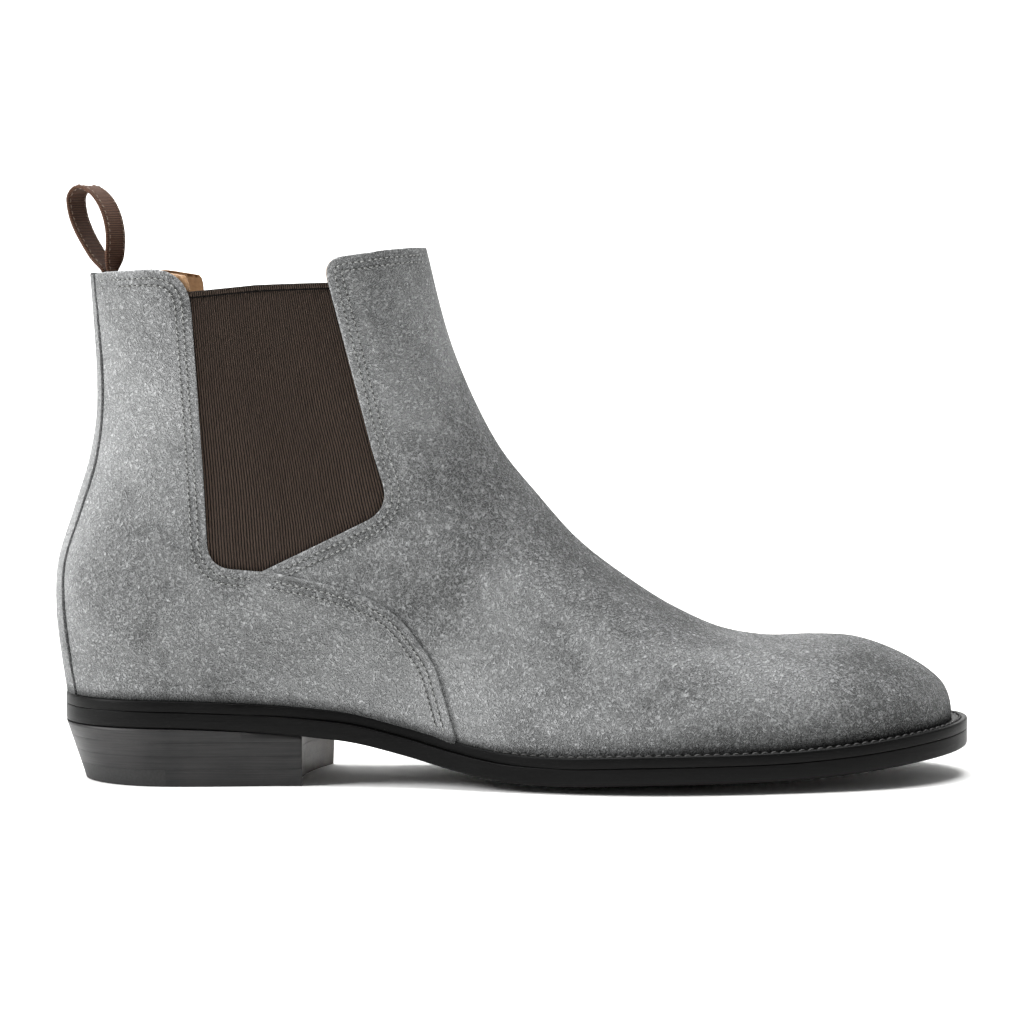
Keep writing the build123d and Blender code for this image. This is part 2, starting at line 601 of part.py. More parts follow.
def make_loop():
    """The pull loop: a ribbon folded double, standing open above the back of the opening. Its rounded foot
    is the line it folds on."""
    half = FOLD_RADIUS - LOOP_THICK / 2
    path = [(half, 0), (1.5, 3), (2.1, 7.5), (2.1, 12.9), (0.1, 19.7), (-3.9, 25.1), (-9.6, 27.9),
            (-13.2, 24.9), (-12.9, 20.4), (-11.8, 16.3), (-9.5, 11.6), (-6.8, 7.5), (-4.1, 4.0), (-half, 0)]
    turn = math.radians(LOOP_TURN)
    across = Vector(math.sin(turn), math.cos(turn), 0)
    curve = Edge.make_spline([loop_place(*p) for p in path], tangents=[Vector(0, 0, 1), Vector(0, 0, -1)])
    ribbon = thicken(Face.extrude(curve, across * LOOP_WIDTH), amount=LOOP_THICK / 2, both=True)
    ribbon = Pos(*(across * (-LOOP_WIDTH / 2))) * larger(ribbon)
    foot = Plane(origin=loop_place(0, 0), z_dir=across) * Cylinder(FOLD_RADIUS, LOOP_WIDTH)
    PIECES["pull_loop"] = larger(ribbon + foot)


def build():
    make_middle(make_leather())
    make_lining()
    make_heel()
    make_bottom()
    make_nails()
    make_loop()
    for name, shape in PIECES.items():
        export_step(place(shape), f"parts/{name}.step")


build()
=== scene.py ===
"""A welted chelsea boot for the right foot, built up the way it is made: sole and heel, welt, linings,
elastic gores, suede upper, stitching and pull loop.

Lengths are in millimetres until a mesh is written. The last's frame has X from the back of the heel to the
toe, Z up from the ground, and the outer side of the foot at -Y.
"""

import math

import bmesh
import bpy
import numpy as np
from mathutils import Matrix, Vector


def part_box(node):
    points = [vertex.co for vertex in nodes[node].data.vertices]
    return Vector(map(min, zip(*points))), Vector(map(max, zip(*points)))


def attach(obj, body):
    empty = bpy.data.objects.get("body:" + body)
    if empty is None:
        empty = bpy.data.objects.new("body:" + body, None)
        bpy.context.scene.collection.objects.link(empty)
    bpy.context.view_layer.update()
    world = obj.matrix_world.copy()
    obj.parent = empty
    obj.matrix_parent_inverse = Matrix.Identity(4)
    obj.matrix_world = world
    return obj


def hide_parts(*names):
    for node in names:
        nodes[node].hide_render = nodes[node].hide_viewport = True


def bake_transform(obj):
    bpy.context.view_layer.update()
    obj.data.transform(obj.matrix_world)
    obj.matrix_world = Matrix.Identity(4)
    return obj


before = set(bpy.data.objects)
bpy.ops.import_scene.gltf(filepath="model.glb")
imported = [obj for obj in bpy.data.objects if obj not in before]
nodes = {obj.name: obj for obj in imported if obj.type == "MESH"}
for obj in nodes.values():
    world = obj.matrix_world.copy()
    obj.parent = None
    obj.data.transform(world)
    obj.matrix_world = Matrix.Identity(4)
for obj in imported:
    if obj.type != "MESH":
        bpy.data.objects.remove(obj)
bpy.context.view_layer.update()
scene = bpy.context.scene


# ======== Studio: floor, lamps and camera ========
# A white painted floor that turns up into a wall, a broad lamp like a window at the heel's side, and a
# larger one overhead. The camera stands level with the boot's top, square to its outer side, on a long lens.
def paint(code):
    """An sRGB hex colour as linear RGBA."""
    srgb = np.array([int(code[i : i + 2], 16) for i in (1, 3, 5)]) / 255
    linear = np.where(srgb <= 0.04045, srgb / 12.92, ((srgb + 0.055) / 1.055) ** 2.4)
    return (*map(float, linear), 1.0)


def add(tree, kind, values=None, links=None, stops=(), into=None, **settings):
    """Adds a shader node: its input values, the outputs that feed it, its colour stops, the socket that its
    own first output goes into, and its settings.
    """
    node = tree.nodes.new("ShaderNode" + kind)
    for name, value in settings.items():
        setattr(node, name, value)
    for name, value in (values or {}).items():
        node.inputs[name].default_value = value
    for name, source in (links or {}).items():
        tree.links.new(source, node.inputs[name])
    for number, (position, colour) in enumerate(stops):
        node.color_ramp.elements[number].position = position
        node.color_ramp.elements[number].color = paint(colour)
    if into:
        tree.links.new(node.outputs[0], into)
    return node


def surface(name, **values):
    """A new material, its node tree and its shader, with the shader's own values set."""
    material = bpy.data.materials.new(name)
    material.use_nodes = True
    tree = material.node_tree
    shader = tree.nodes["Principled BSDF"]
    for key, value in values.items():
        shader.inputs[key.replace("_", " ")].default_value = value
    return material, tree, shader


def mesh_piece(name, points, faces, material, body="boot"):
    """A closed piece from points in the last's frame and faces of their numbers, riding on a body."""
    mesh = bpy.data.meshes.new(name)
    placed = (np.asarray(points, float).reshape(-1, 3) - [TREAD_MIDDLE, 0, 0]) * 0.001
    mesh.from_pydata(placed.tolist(), [], faces)
    work = bmesh.new()
    work.from_mesh(mesh)
    bmesh.ops.recalc_face_normals(work, faces=work.faces)
    work.to_mesh(mesh)
    work.free()
    mesh.polygons.foreach_set("use_smooth", np.ones(len(mesh.polygons), bool))
    mesh.materials.append(material)
    piece = bpy.data.objects.new(name, mesh)
    scene.collection.objects.link(piece)
    if body:
        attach(piece, body)
    return piece


TREAD_MIDDLE = 43.3  # the CAD frame's origin, ahead of the back of the heel

sole_low, sole_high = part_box("outsole")
SOLE_MIDDLE = (sole_low.x + sole_high.x) / 2

floor_finish, tree, shader = surface("matt_white_floor_paint", Roughness=0.9)
grit = add(tree, "TexNoise", {"Scale": 60.0, "Detail": 4.0})
add(tree, "ValToRGB", links={"Fac": grit.outputs["Fac"]}, stops=[(0.0, "#f6f6f5"), (1.0, "#fbfbfa")],
    into=shader.inputs["Base Color"])
COVE = 800.0  # the radius in which the floor turns up into the wall
WALL = 2000.0  # how far behind the boot the wall stands
bend = np.linspace(0, np.pi / 2, 17)
depth = np.r_[-3000, WALL - COVE + COVE * np.sin(bend), WALL]
rise = np.r_[0, COVE - COVE * np.cos(bend), 3500]
floor_points = np.array([[[x, y, z] for x in (-5000, 5000)] for y, z in zip(depth, rise)])
floor_faces = [[2 * k, 2 * k + 1, 2 * k + 3, 2 * k + 2] for k in range(len(depth) - 1)]
floor = mesh_piece("floor", floor_points + [TREAD_MIDDLE, 0, 0], floor_faces, floor_finish, body=None)

world = bpy.data.worlds.new("studio")
scene.world = world
world.use_nodes = True
world.node_tree.nodes["Background"].inputs["Color"].default_value = (1, 1, 1, 1)
world.node_tree.nodes["Background"].inputs["Strength"].default_value = 0.24

for name, place, turn, size, power in [
    ("side_window", (-2.0, -0.66, 1.25), (61, 0, -71), 0.8, 69),
    ("overhead", (-0.1, 0.4, 2.2), (0, 0, 0), 2.0, 112),
]:
    lamp = bpy.data.lights.new(name, "AREA")
    lamp.energy = power
    lamp.size = size
    holder = bpy.data.objects.new(name, lamp)
    holder.location = place
    holder.rotation_euler = [math.radians(a) for a in turn]
    scene.collection.objects.link(holder)

CAMERA_DISTANCE = 1.2
CAMERA_HEIGHT = 0.175
CAMERA_ASIDE = 0.0021  # towards the heel from the sole's middle
CAMERA_DOWN = math.radians(4.085)
view = bpy.data.cameras.new("camera")
view.lens = 125.1
view.sensor_width = 36.0
camera = bpy.data.objects.new("camera", view)
camera.location = (SOLE_MIDDLE - CAMERA_ASIDE, -CAMERA_DISTANCE, CAMERA_HEIGHT)
camera.rotation_euler = (math.pi / 2 - CAMERA_DOWN, 0, 0)
scene.collection.objects.link(camera)
scene.camera = camera
scene.view_settings.view_transform = "Standard"


# ======== The last ========
# The wooden form that the upper is pulled over. Its curves give every other piece its shape.
LAST_LENGTH = 300.0
SHAFT_HEIGHT = 149.0
HEEL_HEIGHT = 19.5
TOE_SPRING = 10.2
INSTEP_HEIGHT = 69.2
TOE_BOX_HEIGHT = 34.0
BALL_WIDTH = 87.0
WAIST_WIDTH = 52.0
HEEL_WIDTH = 60.0
ANKLE_WIDTH = 55.0
SHAFT_WIDTH = 63.0
FOREFOOT_CROWN = 2.4
SHIN_ROUND = 48.0  # the shaft closes to its front over this length
BACK_ROUND = 35.0  # the heel and shaft close to the back over this length
LEG_RISE = 45.0  # the foot's width gives way to the leg's over this height
OUTSOLE = 5.9
WELT = 3.7
STACK = OUTSOLE + WELT
EXTRA = 30.0  # the curves run on this far past the boot
HEADROOM = 14.0  # from the top of the front flap to the last's own top


def through(x, stations):
    """A smooth curve through (position, value) stations: a cubic between each two, with shared slopes."""
    at, value = np.array(stations, float).T
    step = np.diff(at)
    rise = np.diff(value) / step
    slope = np.empty_like(value)
    slope[1:-1] = (step[1:] * rise[:-1] + step[:-1] * rise[1:]) / (step[:-1] + step[1:])
    slope[0], slope[-1] = rise[0], rise[-1]
    x = np.asarray(x, float)
    i = np.clip(np.searchsorted(at, x) - 1, 0, len(step) - 1)
    u = np.clip((x - at[i]) / step[i], 0, 1)
    ends = value[i] * (1 + 2 * u) * (1 - u) ** 2 + value[i + 1] * u * u * (3 - 2 * u)
    return ends + step[i] * u * (1 - u) * (slope[i] * (1 - u) - slope[i + 1] * u)


def ease(u):
    """0 below 0, 1 above 1, and smooth between."""
    u = np.clip(u, 0, 1)
    return u * u * (3 - 2 * u)


def along(share):
    """A place along the boot, from a share of the last's length."""
    return share * LAST_LENGTH


def sole_z(x):
    """Height of the outsole's underside on the centre line."""
    h, t = HEEL_HEIGHT, TOE_SPRING
    stations = [(-0.02, h), (0.15, 0.975 * h), (0.267, 0.86 * h), (0.323, 0.76 * h), (0.383, 0.535 * h),
                (0.433, 0.31 * h), (0.483, 0.13 * h), (0.55, 0.02 * h), (0.633, 0), (0.717, 0.04 * t),
                (0.8, 0.17 * t), (0.873, 0.41 * t), (0.95, 0.73 * t), (1.02, t)]
    return through(x, [(along(a), z) for a, z in stations])


def ground(x, y):
    """Height of the outsole's underside: the centre line's, and up to the sides over the forefoot."""
    stations = [(0.36, 0), (0.48, 0.5), (0.62, 1), (0.77, 1), (0.9, 0.65), (1.02, 0.25)]
    crown = FOREFOOT_CROWN * through(x, [(along(a), c) for a, c in stations])
    return sole_z(x) + crown * (np.asarray(y) / (BALL_WIDTH / 2)) ** 2


def centre_y(x):
    """The last's own centre line, which bends to the inner side at the toe."""
    stations = [(0, 0), (0.3, 0), (0.5, 0.5), (0.667, 2), (0.833, 4.5), (1, 7)]
    return through(x, [(along(a), y) for a, y in stations])


def foot_half(x, side):
    """Half the upper's width at the welt, closed at the toe as a rounded, slightly square end."""
    heel, waist, ball = HEEL_WIDTH / 2, WAIST_WIDTH / 2, BALL_WIDTH / 2
    if side < 0:
        stations = [(0, heel), (0.15, heel), (0.27, 1.08 * waist), (0.37, 1.14 * waist), (0.483, 0.89 * ball),
                    (0.617, 1.075 * ball), (0.71, 1.08 * ball), (0.8, 1.01 * ball), (0.883, 0.9 * ball),
                    (1, 0.74 * ball)]
    else:
        stations = [(0, heel), (0.15, heel), (0.27, 1.0 * waist), (0.37, 0.87 * waist), (0.483, 0.64 * ball),
                    (0.617, 0.875 * ball), (0.72, 0.95 * ball), (0.817, 0.9 * ball), (0.893, 0.8 * ball),
                    (1, 0.66 * ball)]
    share = np.clip((np.asarray(x, float) / LAST_LENGTH - 0.84) / 0.16, 0, 1)
    return through(x, [(along(a), w) for a, w in stations]) * (1 - share**2.5) ** (1 / 2.1)


def feather(x):
    """Height of the line where the upper meets the welt."""
    return ground(x, (foot_half(x, -1) + foot_half(x, 1)) / 2) + STACK


SEAT = float(feather(0.0))
TOP = SEAT + SHAFT_HEIGHT
CEILING = TOP + HEADROOM


def height(share):
    """A height from the heel's welt line, as a share of the shaft's height."""
    return SEAT + share * SHAFT_HEIGHT


heel_curve = [(0, 0.4), (11, -1.2), (29, -3.0), (43, -2.4), (61, 3.0), (79, 8.6), (93, 11.0), (106, 11.3),
              (121, 10.6), (141, 9.3), (163, 8.0)]
BACK = [(-EXTRA, 0.4)] + [(SEAT + z, x) for z, x in heel_curve] + [(CEILING + EXTRA, 7.0)]

toe = [(1.0, 0.0), (0.9985, 0.17), (0.991, 0.345), (0.977, 0.48), (0.957, 0.615), (0.927, 0.77),
       (0.89, 0.905), (0.843, 0.97), (0.787, 1.0)]
low = feather(along(0.787)) + TOE_BOX_HEIGHT
instep = feather(along(0.573)) + INSTEP_HEIGHT
rising = [(0.74, 0.07), (0.687, 0.275), (0.627, 0.62), (0.573, 1.0)]
shin = [(0.527, 0.16), (0.4885, 0.31), (0.4585, 0.475), (0.435, 0.65), (0.4175, 0.83), (0.404, 1.0)]
RIDGE = [(along(a), feather(along(a)) + h * TOE_BOX_HEIGHT) for a, h in toe]
RIDGE += [(along(a), low + h * (instep - low)) for a, h in rising]
RIDGE += [(along(a), instep + h * (TOP - instep)) for a, h in shin]
RIDGE = np.array(RIDGE + [(along(0.393), CEILING)], float)
RIDGE_RUN = np.r_[0, np.cumsum(np.hypot(*np.diff(RIDGE, axis=0).T))]


def ridge(t):
    """X and Z of the ridge, at a share of its length from the toe."""
    run = np.asarray(t) * RIDGE_RUN[-1]
    return through(run, np.c_[RIDGE_RUN, RIDGE[:, 0]]), through(run, np.c_[RIDGE_RUN, RIDGE[:, 1]])


RIDGE_FINE = np.array(ridge(np.linspace(0, 1, 4000)))
SHIN_FINE = RIDGE_FINE[:, RIDGE_FINE[0] < along(0.74)]


def half_width(x, z, side):
    """Half the upper's width at a place in side view: nothing on the ridge and at the back."""
    base = feather(x)
    up = np.maximum(z - base, 0)
    heel, ankle, shaft = HEEL_WIDTH / 2, ANKLE_WIDTH / 2, SHAFT_WIDTH / 2
    leg = through(up / SHAFT_HEIGHT, [(-1, heel), (0, heel), (0.14, 1.1 * heel), (0.3, 1.06 * heel),
                                      (0.48, ankle), (0.62, ankle), (1, shaft), (2, shaft)])
    in_leg = ease(up / LEG_RISE) * (1 - ease((x / LAST_LENGTH - 0.4) / 0.27))
    wide = foot_half(x, side) * (1 + 0.025 * ease(up / 10)) * (1 - in_leg) + leg * in_leg
    over = np.interp(x, RIDGE_FINE[0][::-1], RIDGE_FINE[1][::-1])
    below = np.clip((over - z) / np.maximum(over - base, 1e-6), 0, 1)
    roundness = 1.8 + 0.6 * ease((x / LAST_LENGTH - 0.55) / 0.3)
    foot_end = np.sqrt(1 - (1 - below) ** roundness)
    ahead = np.interp(z, SHIN_FINE[1], SHIN_FINE[0]) - x
    shaft_end = np.sqrt(1 - (1 - np.clip(ahead / SHIN_ROUND, 0, 1)) ** 2)
    in_foot = ease((x / LAST_LENGTH - 0.404) / 0.24)
    heel_end = np.sqrt(1 - (1 - np.clip((x - through(z, BACK)) / BACK_ROUND, 0, 1)) ** 2.2)
    return wide * heel_end * (shaft_end * (1 - in_foot) + foot_end * in_foot)


def side_place(s, t):
    """Side view of the upper: s from the back, 0, to the ridge, 1, and t from the welt, 0, to the top, 1."""
    rx, rz = ridge(0.75 * t + 0.25 * t**2)
    bz = SEAT + t**1.15 * (CEILING - SEAT)
    x0, x1 = through(SEAT, BACK), RIDGE[0, 0]
    fx = x0 + s * (x1 - x0)
    sag = feather(fx) - (SEAT + s * (feather(x1) - SEAT))
    x = (1 - s) * through(bz, BACK) + s * rx
    z = (1 - s) * bz + s * rz + (1 - t) * sag
    dip = 3.6 * s**4 * (1 - s) * (1 - ease((t - 0.2) / 0.5)) * ease(t / 0.08)
    return x, z - dip * np.maximum(z - feather(x), 0)


def skin(around, up):
    """The upper's outside: around is 0 at the back, and 1 or -1 on the ridge by the outer or inner side."""
    turn = np.pi * np.asarray(around, float)
    x, z = side_place((1 - np.cos(turn)) / 2, np.clip(up, 0, 1))
    out = np.where(np.sin(turn) >= 0, half_width(x, z, -1), half_width(x, z, 1))
    return np.stack([x, centre_y(x) - np.sign(np.sin(turn)) * out, z], -1)


def unit(v):
    """Vectors made one long."""
    return v / np.maximum(np.linalg.norm(v, axis=-1, keepdims=True), 1e-12)


def outward(around, up, step=0.004):
    """The upper's outward direction: across the two ways that its surface runs."""
    across = skin(around + step, up) - skin(around - step, up)
    rising = skin(around, np.minimum(up + step, 1)) - skin(around, np.maximum(up - step, 0))
    return unit(np.cross(across, rising))


def plan_line(around):
    """The welt line, and its level outward direction."""
    line = skin(around, 0 * around)
    return line, unit(outward(around, 0 * around) * [1, 1, 0])


# ======== Outsole ========
# One cut of oak-bark leather, blacked and burnished with wax. The edge is rounded over below, and the
# tread's face has a worn grain.
HEEL_REACH = 1.3
WAIST_REACH = 2.6
WELT_REACH = 5.2
RING_MIDDLE = LAST_LENGTH / 2  # a shrunk ring closes on this place
AROUND = np.linspace(-1, 1, 481)[:-1]


def reach(x, waist):
    """How far a bottom piece stands out from the upper: at the heel, the waist and the forefoot."""
    stations = [(-0.02, HEEL_REACH), (0.2, HEEL_REACH), (0.3, waist), (0.42, waist), (0.56, WELT_REACH),
                (1.02, WELT_REACH)]
    return through(x, [(along(a), r) for a, r in stations])


def bottom_ring(around, waist, inset, level, shrink=1.0):
    """A ring of the bottom's outline, drawn in by inset, this far over the ground line and shrunk."""
    line, out = plan_line(around)
    line = line + out * (reach(line[:, :1], waist) - inset)
    x = RING_MIDDLE + (line[:, 0] - RING_MIDDLE) * shrink
    y = centre_y(x) + (line[:, 1] - centre_y(line[:, 0])) * shrink
    return np.stack([x, y, ground(x, y) + level], -1)


def stack_faces(rings, count, closed=True):
    """Quads between rings of count points each, joined round where closed."""
    index = np.arange(rings * count).reshape(rings, count)
    a, b = index[:-1], index[1:]
    if closed:
        a = np.concatenate([a, a[:, :1]], 1)
        b = np.concatenate([b, b[:, :1]], 1)
    return np.stack([a[:, :-1], a[:, 1:], b[:, 1:], b[:, :-1]], -1).reshape(-1, 4).tolist()


def closed_tube(rings, count):
    """The faces of stacked rings, with the first and last ring each closed by a face."""
    ends = [list(range(count))[::-1], list(range((rings - 1) * count, rings * count))]
    return stack_faces(rings, count) + ends


def stacked_piece(name, rings, material):
    """A closed piece from rings one over another."""
    return mesh_piece(name, np.concatenate(rings), closed_tube(len(rings), len(rings[0])), material)


# Vegetable-tanned leather, blacked and burnished: a waxed gloss with fine scratches along the edge and
# duller worn spots.
def blacked_leather(name, tint, shine=0.2, scratch=(30, 30, 900)):
    """Black burnished leather, with scratches drawn out along X and Y."""
    material, tree, shader = surface(name, Specular_IOR_Level=shine)
    place = add(tree, "TexCoord").outputs["Object"]
    drawn = add(tree, "Mapping", {"Scale": scratch}, {"Vector": place}).outputs["Vector"]
    lines = add(tree, "TexNoise", {"Scale": 2.0, "Detail": 5.0, "Roughness": 0.65}, {"Vector": drawn})
    cloud = add(tree, "TexNoise", {"Scale": 55.0, "Detail": 4.0}, {"Vector": place})
    both = add(tree, "Math", links={0: lines.outputs["Fac"], 1: cloud.outputs["Fac"]}, operation="MULTIPLY")
    add(tree, "ValToRGB", links={"Fac": both.outputs[0]}, stops=[(0.12, tint[0]), (0.42, tint[1])],
        into=shader.inputs["Base Color"])
    add(tree, "MapRange", {"To Min": 0.3, "To Max": 0.62}, {"Value": cloud.outputs["Fac"]},
        into=shader.inputs["Roughness"])
    add(tree, "Bump", {"Strength": 0.25, "Distance": 0.0003}, {"Height": lines.outputs["Fac"]},
        into=shader.inputs["Normal"])
    return material


sole_black = blacked_leather("waxed_black_sole_leather", ("#050505", "#0d0d0d"), 0.1)
rings = [bottom_ring(AROUND, WAIST_REACH, 1.4, 0, k) for k in (0.05, 0.3, 0.55, 0.75, 0.9, 0.97, 1)]
rings += [bottom_ring(AROUND, WAIST_REACH, e, z) for e, z in
          [(0.7, 0.06), (0.25, 0.3), (0, 0.9), (0, 3), (0, 5.4), (0.03, 5.7), (0.2, 5.86), (1.0, OUTSOLE)]]
rings += [bottom_ring(AROUND, WAIST_REACH, 1.0, OUTSOLE, k) for k in (0.9, 0.5, 0.05)]
outsole = stacked_piece("outsole_leather", rings, sole_black)
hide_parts("outsole")


# ======== Welt and heel rand ========
# A strip of blacked leather sewn round the upper's foot from breast to breast, with the lockstitch lying in
# a shallow channel, and a plain rand round the heel seat.
WELT_WAIST = 0.5
CHANNEL = 0.28  # depth of the groove that the stitches lie in
WELT_PROFILE = [(9.0, OUTSOLE + 0.02), (0.25, OUTSOLE + 0.02), (0.05, OUTSOLE + 0.12), (0, OUTSOLE + 0.4),
                (0, STACK - 0.8), (0.15, STACK - 0.3), (0.6, STACK - 0.02), (1.1, STACK), (1.9, STACK),
                (2.15, STACK - CHANNEL), (2.75, STACK - CHANNEL), (3.0, STACK), (4.5, STACK), (9.0, STACK)]
RAND_PROFILE = WELT_PROFILE[:7] + WELT_PROFILE[-2:]
BREAST = 0.27  # of the last's length, where the rand meets the welt


def breast_turn():
    """The place round the outline where it passes the heel's breast."""
    tries = np.linspace(0.05, 0.95, 400)
    return float(np.interp(along(BREAST), skin(tries, 0 * tries)[:, 0], tries))


def band_piece(name, around, profile, material):
    """The profile of (inset, level) carried along a stretch of the outline, with closed ends.

    A ring close to each end keeps the sides' shading from turning into the end's.
    """
    tight = 0.02 * (around[1] - around[0])
    around = np.r_[around[0], around[0] + tight, around[1:-1], around[-1] - tight, around[-1]]
    rings = np.stack([bottom_ring(around, WELT_WAIST, e, z) for e, z in profile], 1)
    return mesh_piece(name, rings, closed_tube(len(around), len(profile)), material)


turn = breast_turn()
welt_black = blacked_leather("blacked_welt_leather", ("#040404", "#0b0b0b"), 0.1)
welt = band_piece("welt_strip", np.linspace(turn, 2 - turn, 420), WELT_PROFILE, welt_black)
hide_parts("welt")
rand = band_piece("heel_rand_strip", np.linspace(-turn, turn, 200), RAND_PROFILE, welt_black)
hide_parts("heel_rand")

THREAD_SIDES = 6


def stitch_piece(name, places, tangents, normals, length, thick, material, body="boot"):
    """Short capsules of thread: each is six-sided rings along its own length, humped over the surface."""
    share = np.array([-0.5, -0.42, -0.2, 0.0, 0.2, 0.42, 0.5])
    hump = np.array([-0.55, -0.1, 0.25, 0.35, 0.25, -0.1, -0.55]) * thick
    fat = np.array([0.25, 0.8, 1, 1, 1, 0.8, 0.25]) * thick / 2
    spin = np.arange(THREAD_SIDES) / THREAD_SIDES * 2 * np.pi
    across = unit(np.cross(normals, tangents))
    up = unit(np.cross(tangents, across))
    mid = places[:, None] + tangents[:, None] * (share * length)[:, None] + up[:, None] * hump[:, None]
    ring = across[:, None, None] * np.cos(spin)[:, None] + up[:, None, None] * np.sin(spin)[:, None]
    points = mid[:, :, None] + ring * fat[None, :, None, None]
    one = np.array(stack_faces(len(share), THREAD_SIDES))
    size = len(share) * THREAD_SIDES
    faces = (one[None] + (np.arange(len(places)) * size)[:, None, None]).reshape(-1, 4).tolist()
    ends = np.arange(THREAD_SIDES)
    starts = (ends[None, ::-1] + (np.arange(len(places)) * size)[:, None]).tolist()
    stops = (ends[None] + (np.arange(len(places)) * size + size - THREAD_SIDES)[:, None]).tolist()
    return mesh_piece(name, points, faces + starts + stops, material, body)


def spaced(line, pitch):
    """Points every pitch along a line, and the line's direction there."""
    run = np.r_[0, np.cumsum(np.linalg.norm(np.diff(line, axis=0), axis=1))]
    at = np.arange(pitch / 2, run[-1], pitch)
    place = np.stack([np.interp(at, run, line[:, i]) for i in range(3)], -1)
    ahead = np.stack([np.interp(at + 0.3, run, line[:, i]) for i in range(3)], -1)
    behind = np.stack([np.interp(at - 0.3, run, line[:, i]) for i in range(3)], -1)
    return place, unit(ahead - behind)


# Twisted thread, waxed linen on the welt and polyester above: round plies with a dull shine.
def thread(name, colour):
    """Twisted thread: diagonal plies as bump, and a slightly uneven colour."""
    material, tree, shader = surface(name, Roughness=0.6)
    place = add(tree, "TexCoord").outputs["Object"]
    plies = add(tree, "TexWave", {"Scale": 900.0, "Distortion": 1.0}, {"Vector": place},
                bands_direction="DIAGONAL")
    add(tree, "ValToRGB", links={"Fac": plies.outputs["Fac"]},
        stops=[(0.0, colour[0]), (1.0, colour[1])], into=shader.inputs["Base Color"])
    add(tree, "Bump", {"Strength": 0.4, "Distance": 0.0001}, {"Height": plies.outputs["Fac"]},
        into=shader.inputs["Normal"])
    return material


WELT_STITCH = 3.2
line = bottom_ring(np.linspace(turn + 0.1, 2 - turn - 0.1, 900), WELT_WAIST, 2.45, STACK - 0.1)
places, tangents = spaced(line, WELT_STITCH)
welt_thread = thread("black_waxed_linen_thread", ("#161616", "#3a3938"))
level_up = 0 * places + [0, 0, 1]
stitches = stitch_piece("welt_stitches", places, tangents, level_up, 2.7, 0.8, welt_thread)


# ======== Heel ========
# Lifts of sole leather glued and nailed in a stack, trimmed to a taper, blacked and burnished. The breast,
# under the arch, keeps the leather's own brown below its blacked edge.
HEEL_LENGTH = 80.0
BREAST_HOLLOW = 5.0
BREAST_SKEW = 9.0
TAPER_BACK = 6.6
TAPER_SIDE = 1.8
LIFT_SEAMS = [5.8, 10.4, 15.0, 26.0]  # the last is up inside the outsole, which cuts the lift off


def heel_outline():
    """The heel's closed outline from above: round the back, and a hollow arc across the breast."""
    around = np.linspace(-turn - 0.06, turn + 0.06, 400)
    line, out = plan_line(around)
    line = (line + out * HEEL_REACH)[:, :2]
    outer_x, inner_x = HEEL_LENGTH + 0.5, HEEL_LENGTH + BREAST_SKEW
    inner, outer = line[around < 0], line[around > 0]
    outer_y = np.interp(outer_x, *outer.T)
    inner_y = np.interp(inner_x, *inner[::-1].T)
    back = np.vstack([[inner_x, inner_y], inner[inner[:, 0] < inner_x - 0.5],
                      outer[outer[:, 0] < outer_x - 0.5], [outer_x, outer_y]])
    share = np.linspace(0, 1, 40)[1:-1, None]
    arc = back[-1] * (1 - share) + back[0] * share - [1, 0] * (4 * BREAST_HOLLOW * share * (1 - share))
    loop = np.vstack([back, arc, back[:1]])
    run = np.r_[0, np.cumsum(np.linalg.norm(np.diff(loop, axis=0), axis=1))]
    at = np.linspace(0, run[-1], 361)[:-1]
    return np.stack([np.interp(at, run, loop[:, i]) for i in range(2)], -1)


HEEL_PLAN = heel_outline()


def heel_ring(z, inset, shrink=1.0):
    """A ring of the heel at a height or under the outsole, tapered in and drawn in from its edge."""
    loop = HEEL_PLAN
    z = np.minimum(z, ground(loop[:, 0], loop[:, 1]))
    drop = 1 - z / HEEL_HEIGHT
    x = loop[:, 0] + drop * TAPER_BACK * (1 - (loop[:, 0] - loop[:, 0].min()) / HEEL_LENGTH)
    loop = np.stack([x, loop[:, 1] * (1 - drop * TAPER_SIDE / (HEEL_WIDTH / 2))], -1)
    along_loop = unit(np.roll(loop, -2, 0) - np.roll(loop, 2, 0))
    inward = np.stack([-along_loop[:, 1], along_loop[:, 0]], -1)
    middle = loop.mean(0)
    inward *= np.sign((inward * (middle - loop)).sum(-1).mean())
    loop = middle + (loop + inward * inset - middle) * shrink
    return np.stack([loop[:, 0], loop[:, 1], z], -1)


heel_black = blacked_leather("burnished_heel_leather", ("#161617", "#302f2f"), 0.28, (22, 22, 1300))
tree = heel_black.node_tree
facing = add(tree, "SeparateXYZ", links={0: add(tree, "TexCoord").outputs["Normal"]})
fore = add(tree, "MapRange", {"From Min": 0.7, "From Max": 0.85}, {"Value": facing.outputs["X"]})
place = add(tree, "TexCoord").outputs["Object"]
grain = add(tree, "TexNoise", {"Scale": 300.0, "Detail": 6.0}, {"Vector": place})
raw = add(tree, "ValToRGB", links={"Fac": grain.outputs["Fac"]}, stops=[(0.0, "#2f2a26"), (1.0, "#5a5047")])
shader = tree.nodes["Principled BSDF"]
mix = add(tree, "Mix", data_type="RGBA")
tree.links.new(fore.outputs[0], mix.inputs["Factor"])
tree.links.new(shader.inputs["Base Color"].links[0].from_socket, mix.inputs[6])
tree.links.new(raw.outputs["Color"], mix.inputs[7])
tree.links.new(mix.outputs[2], shader.inputs["Base Color"])

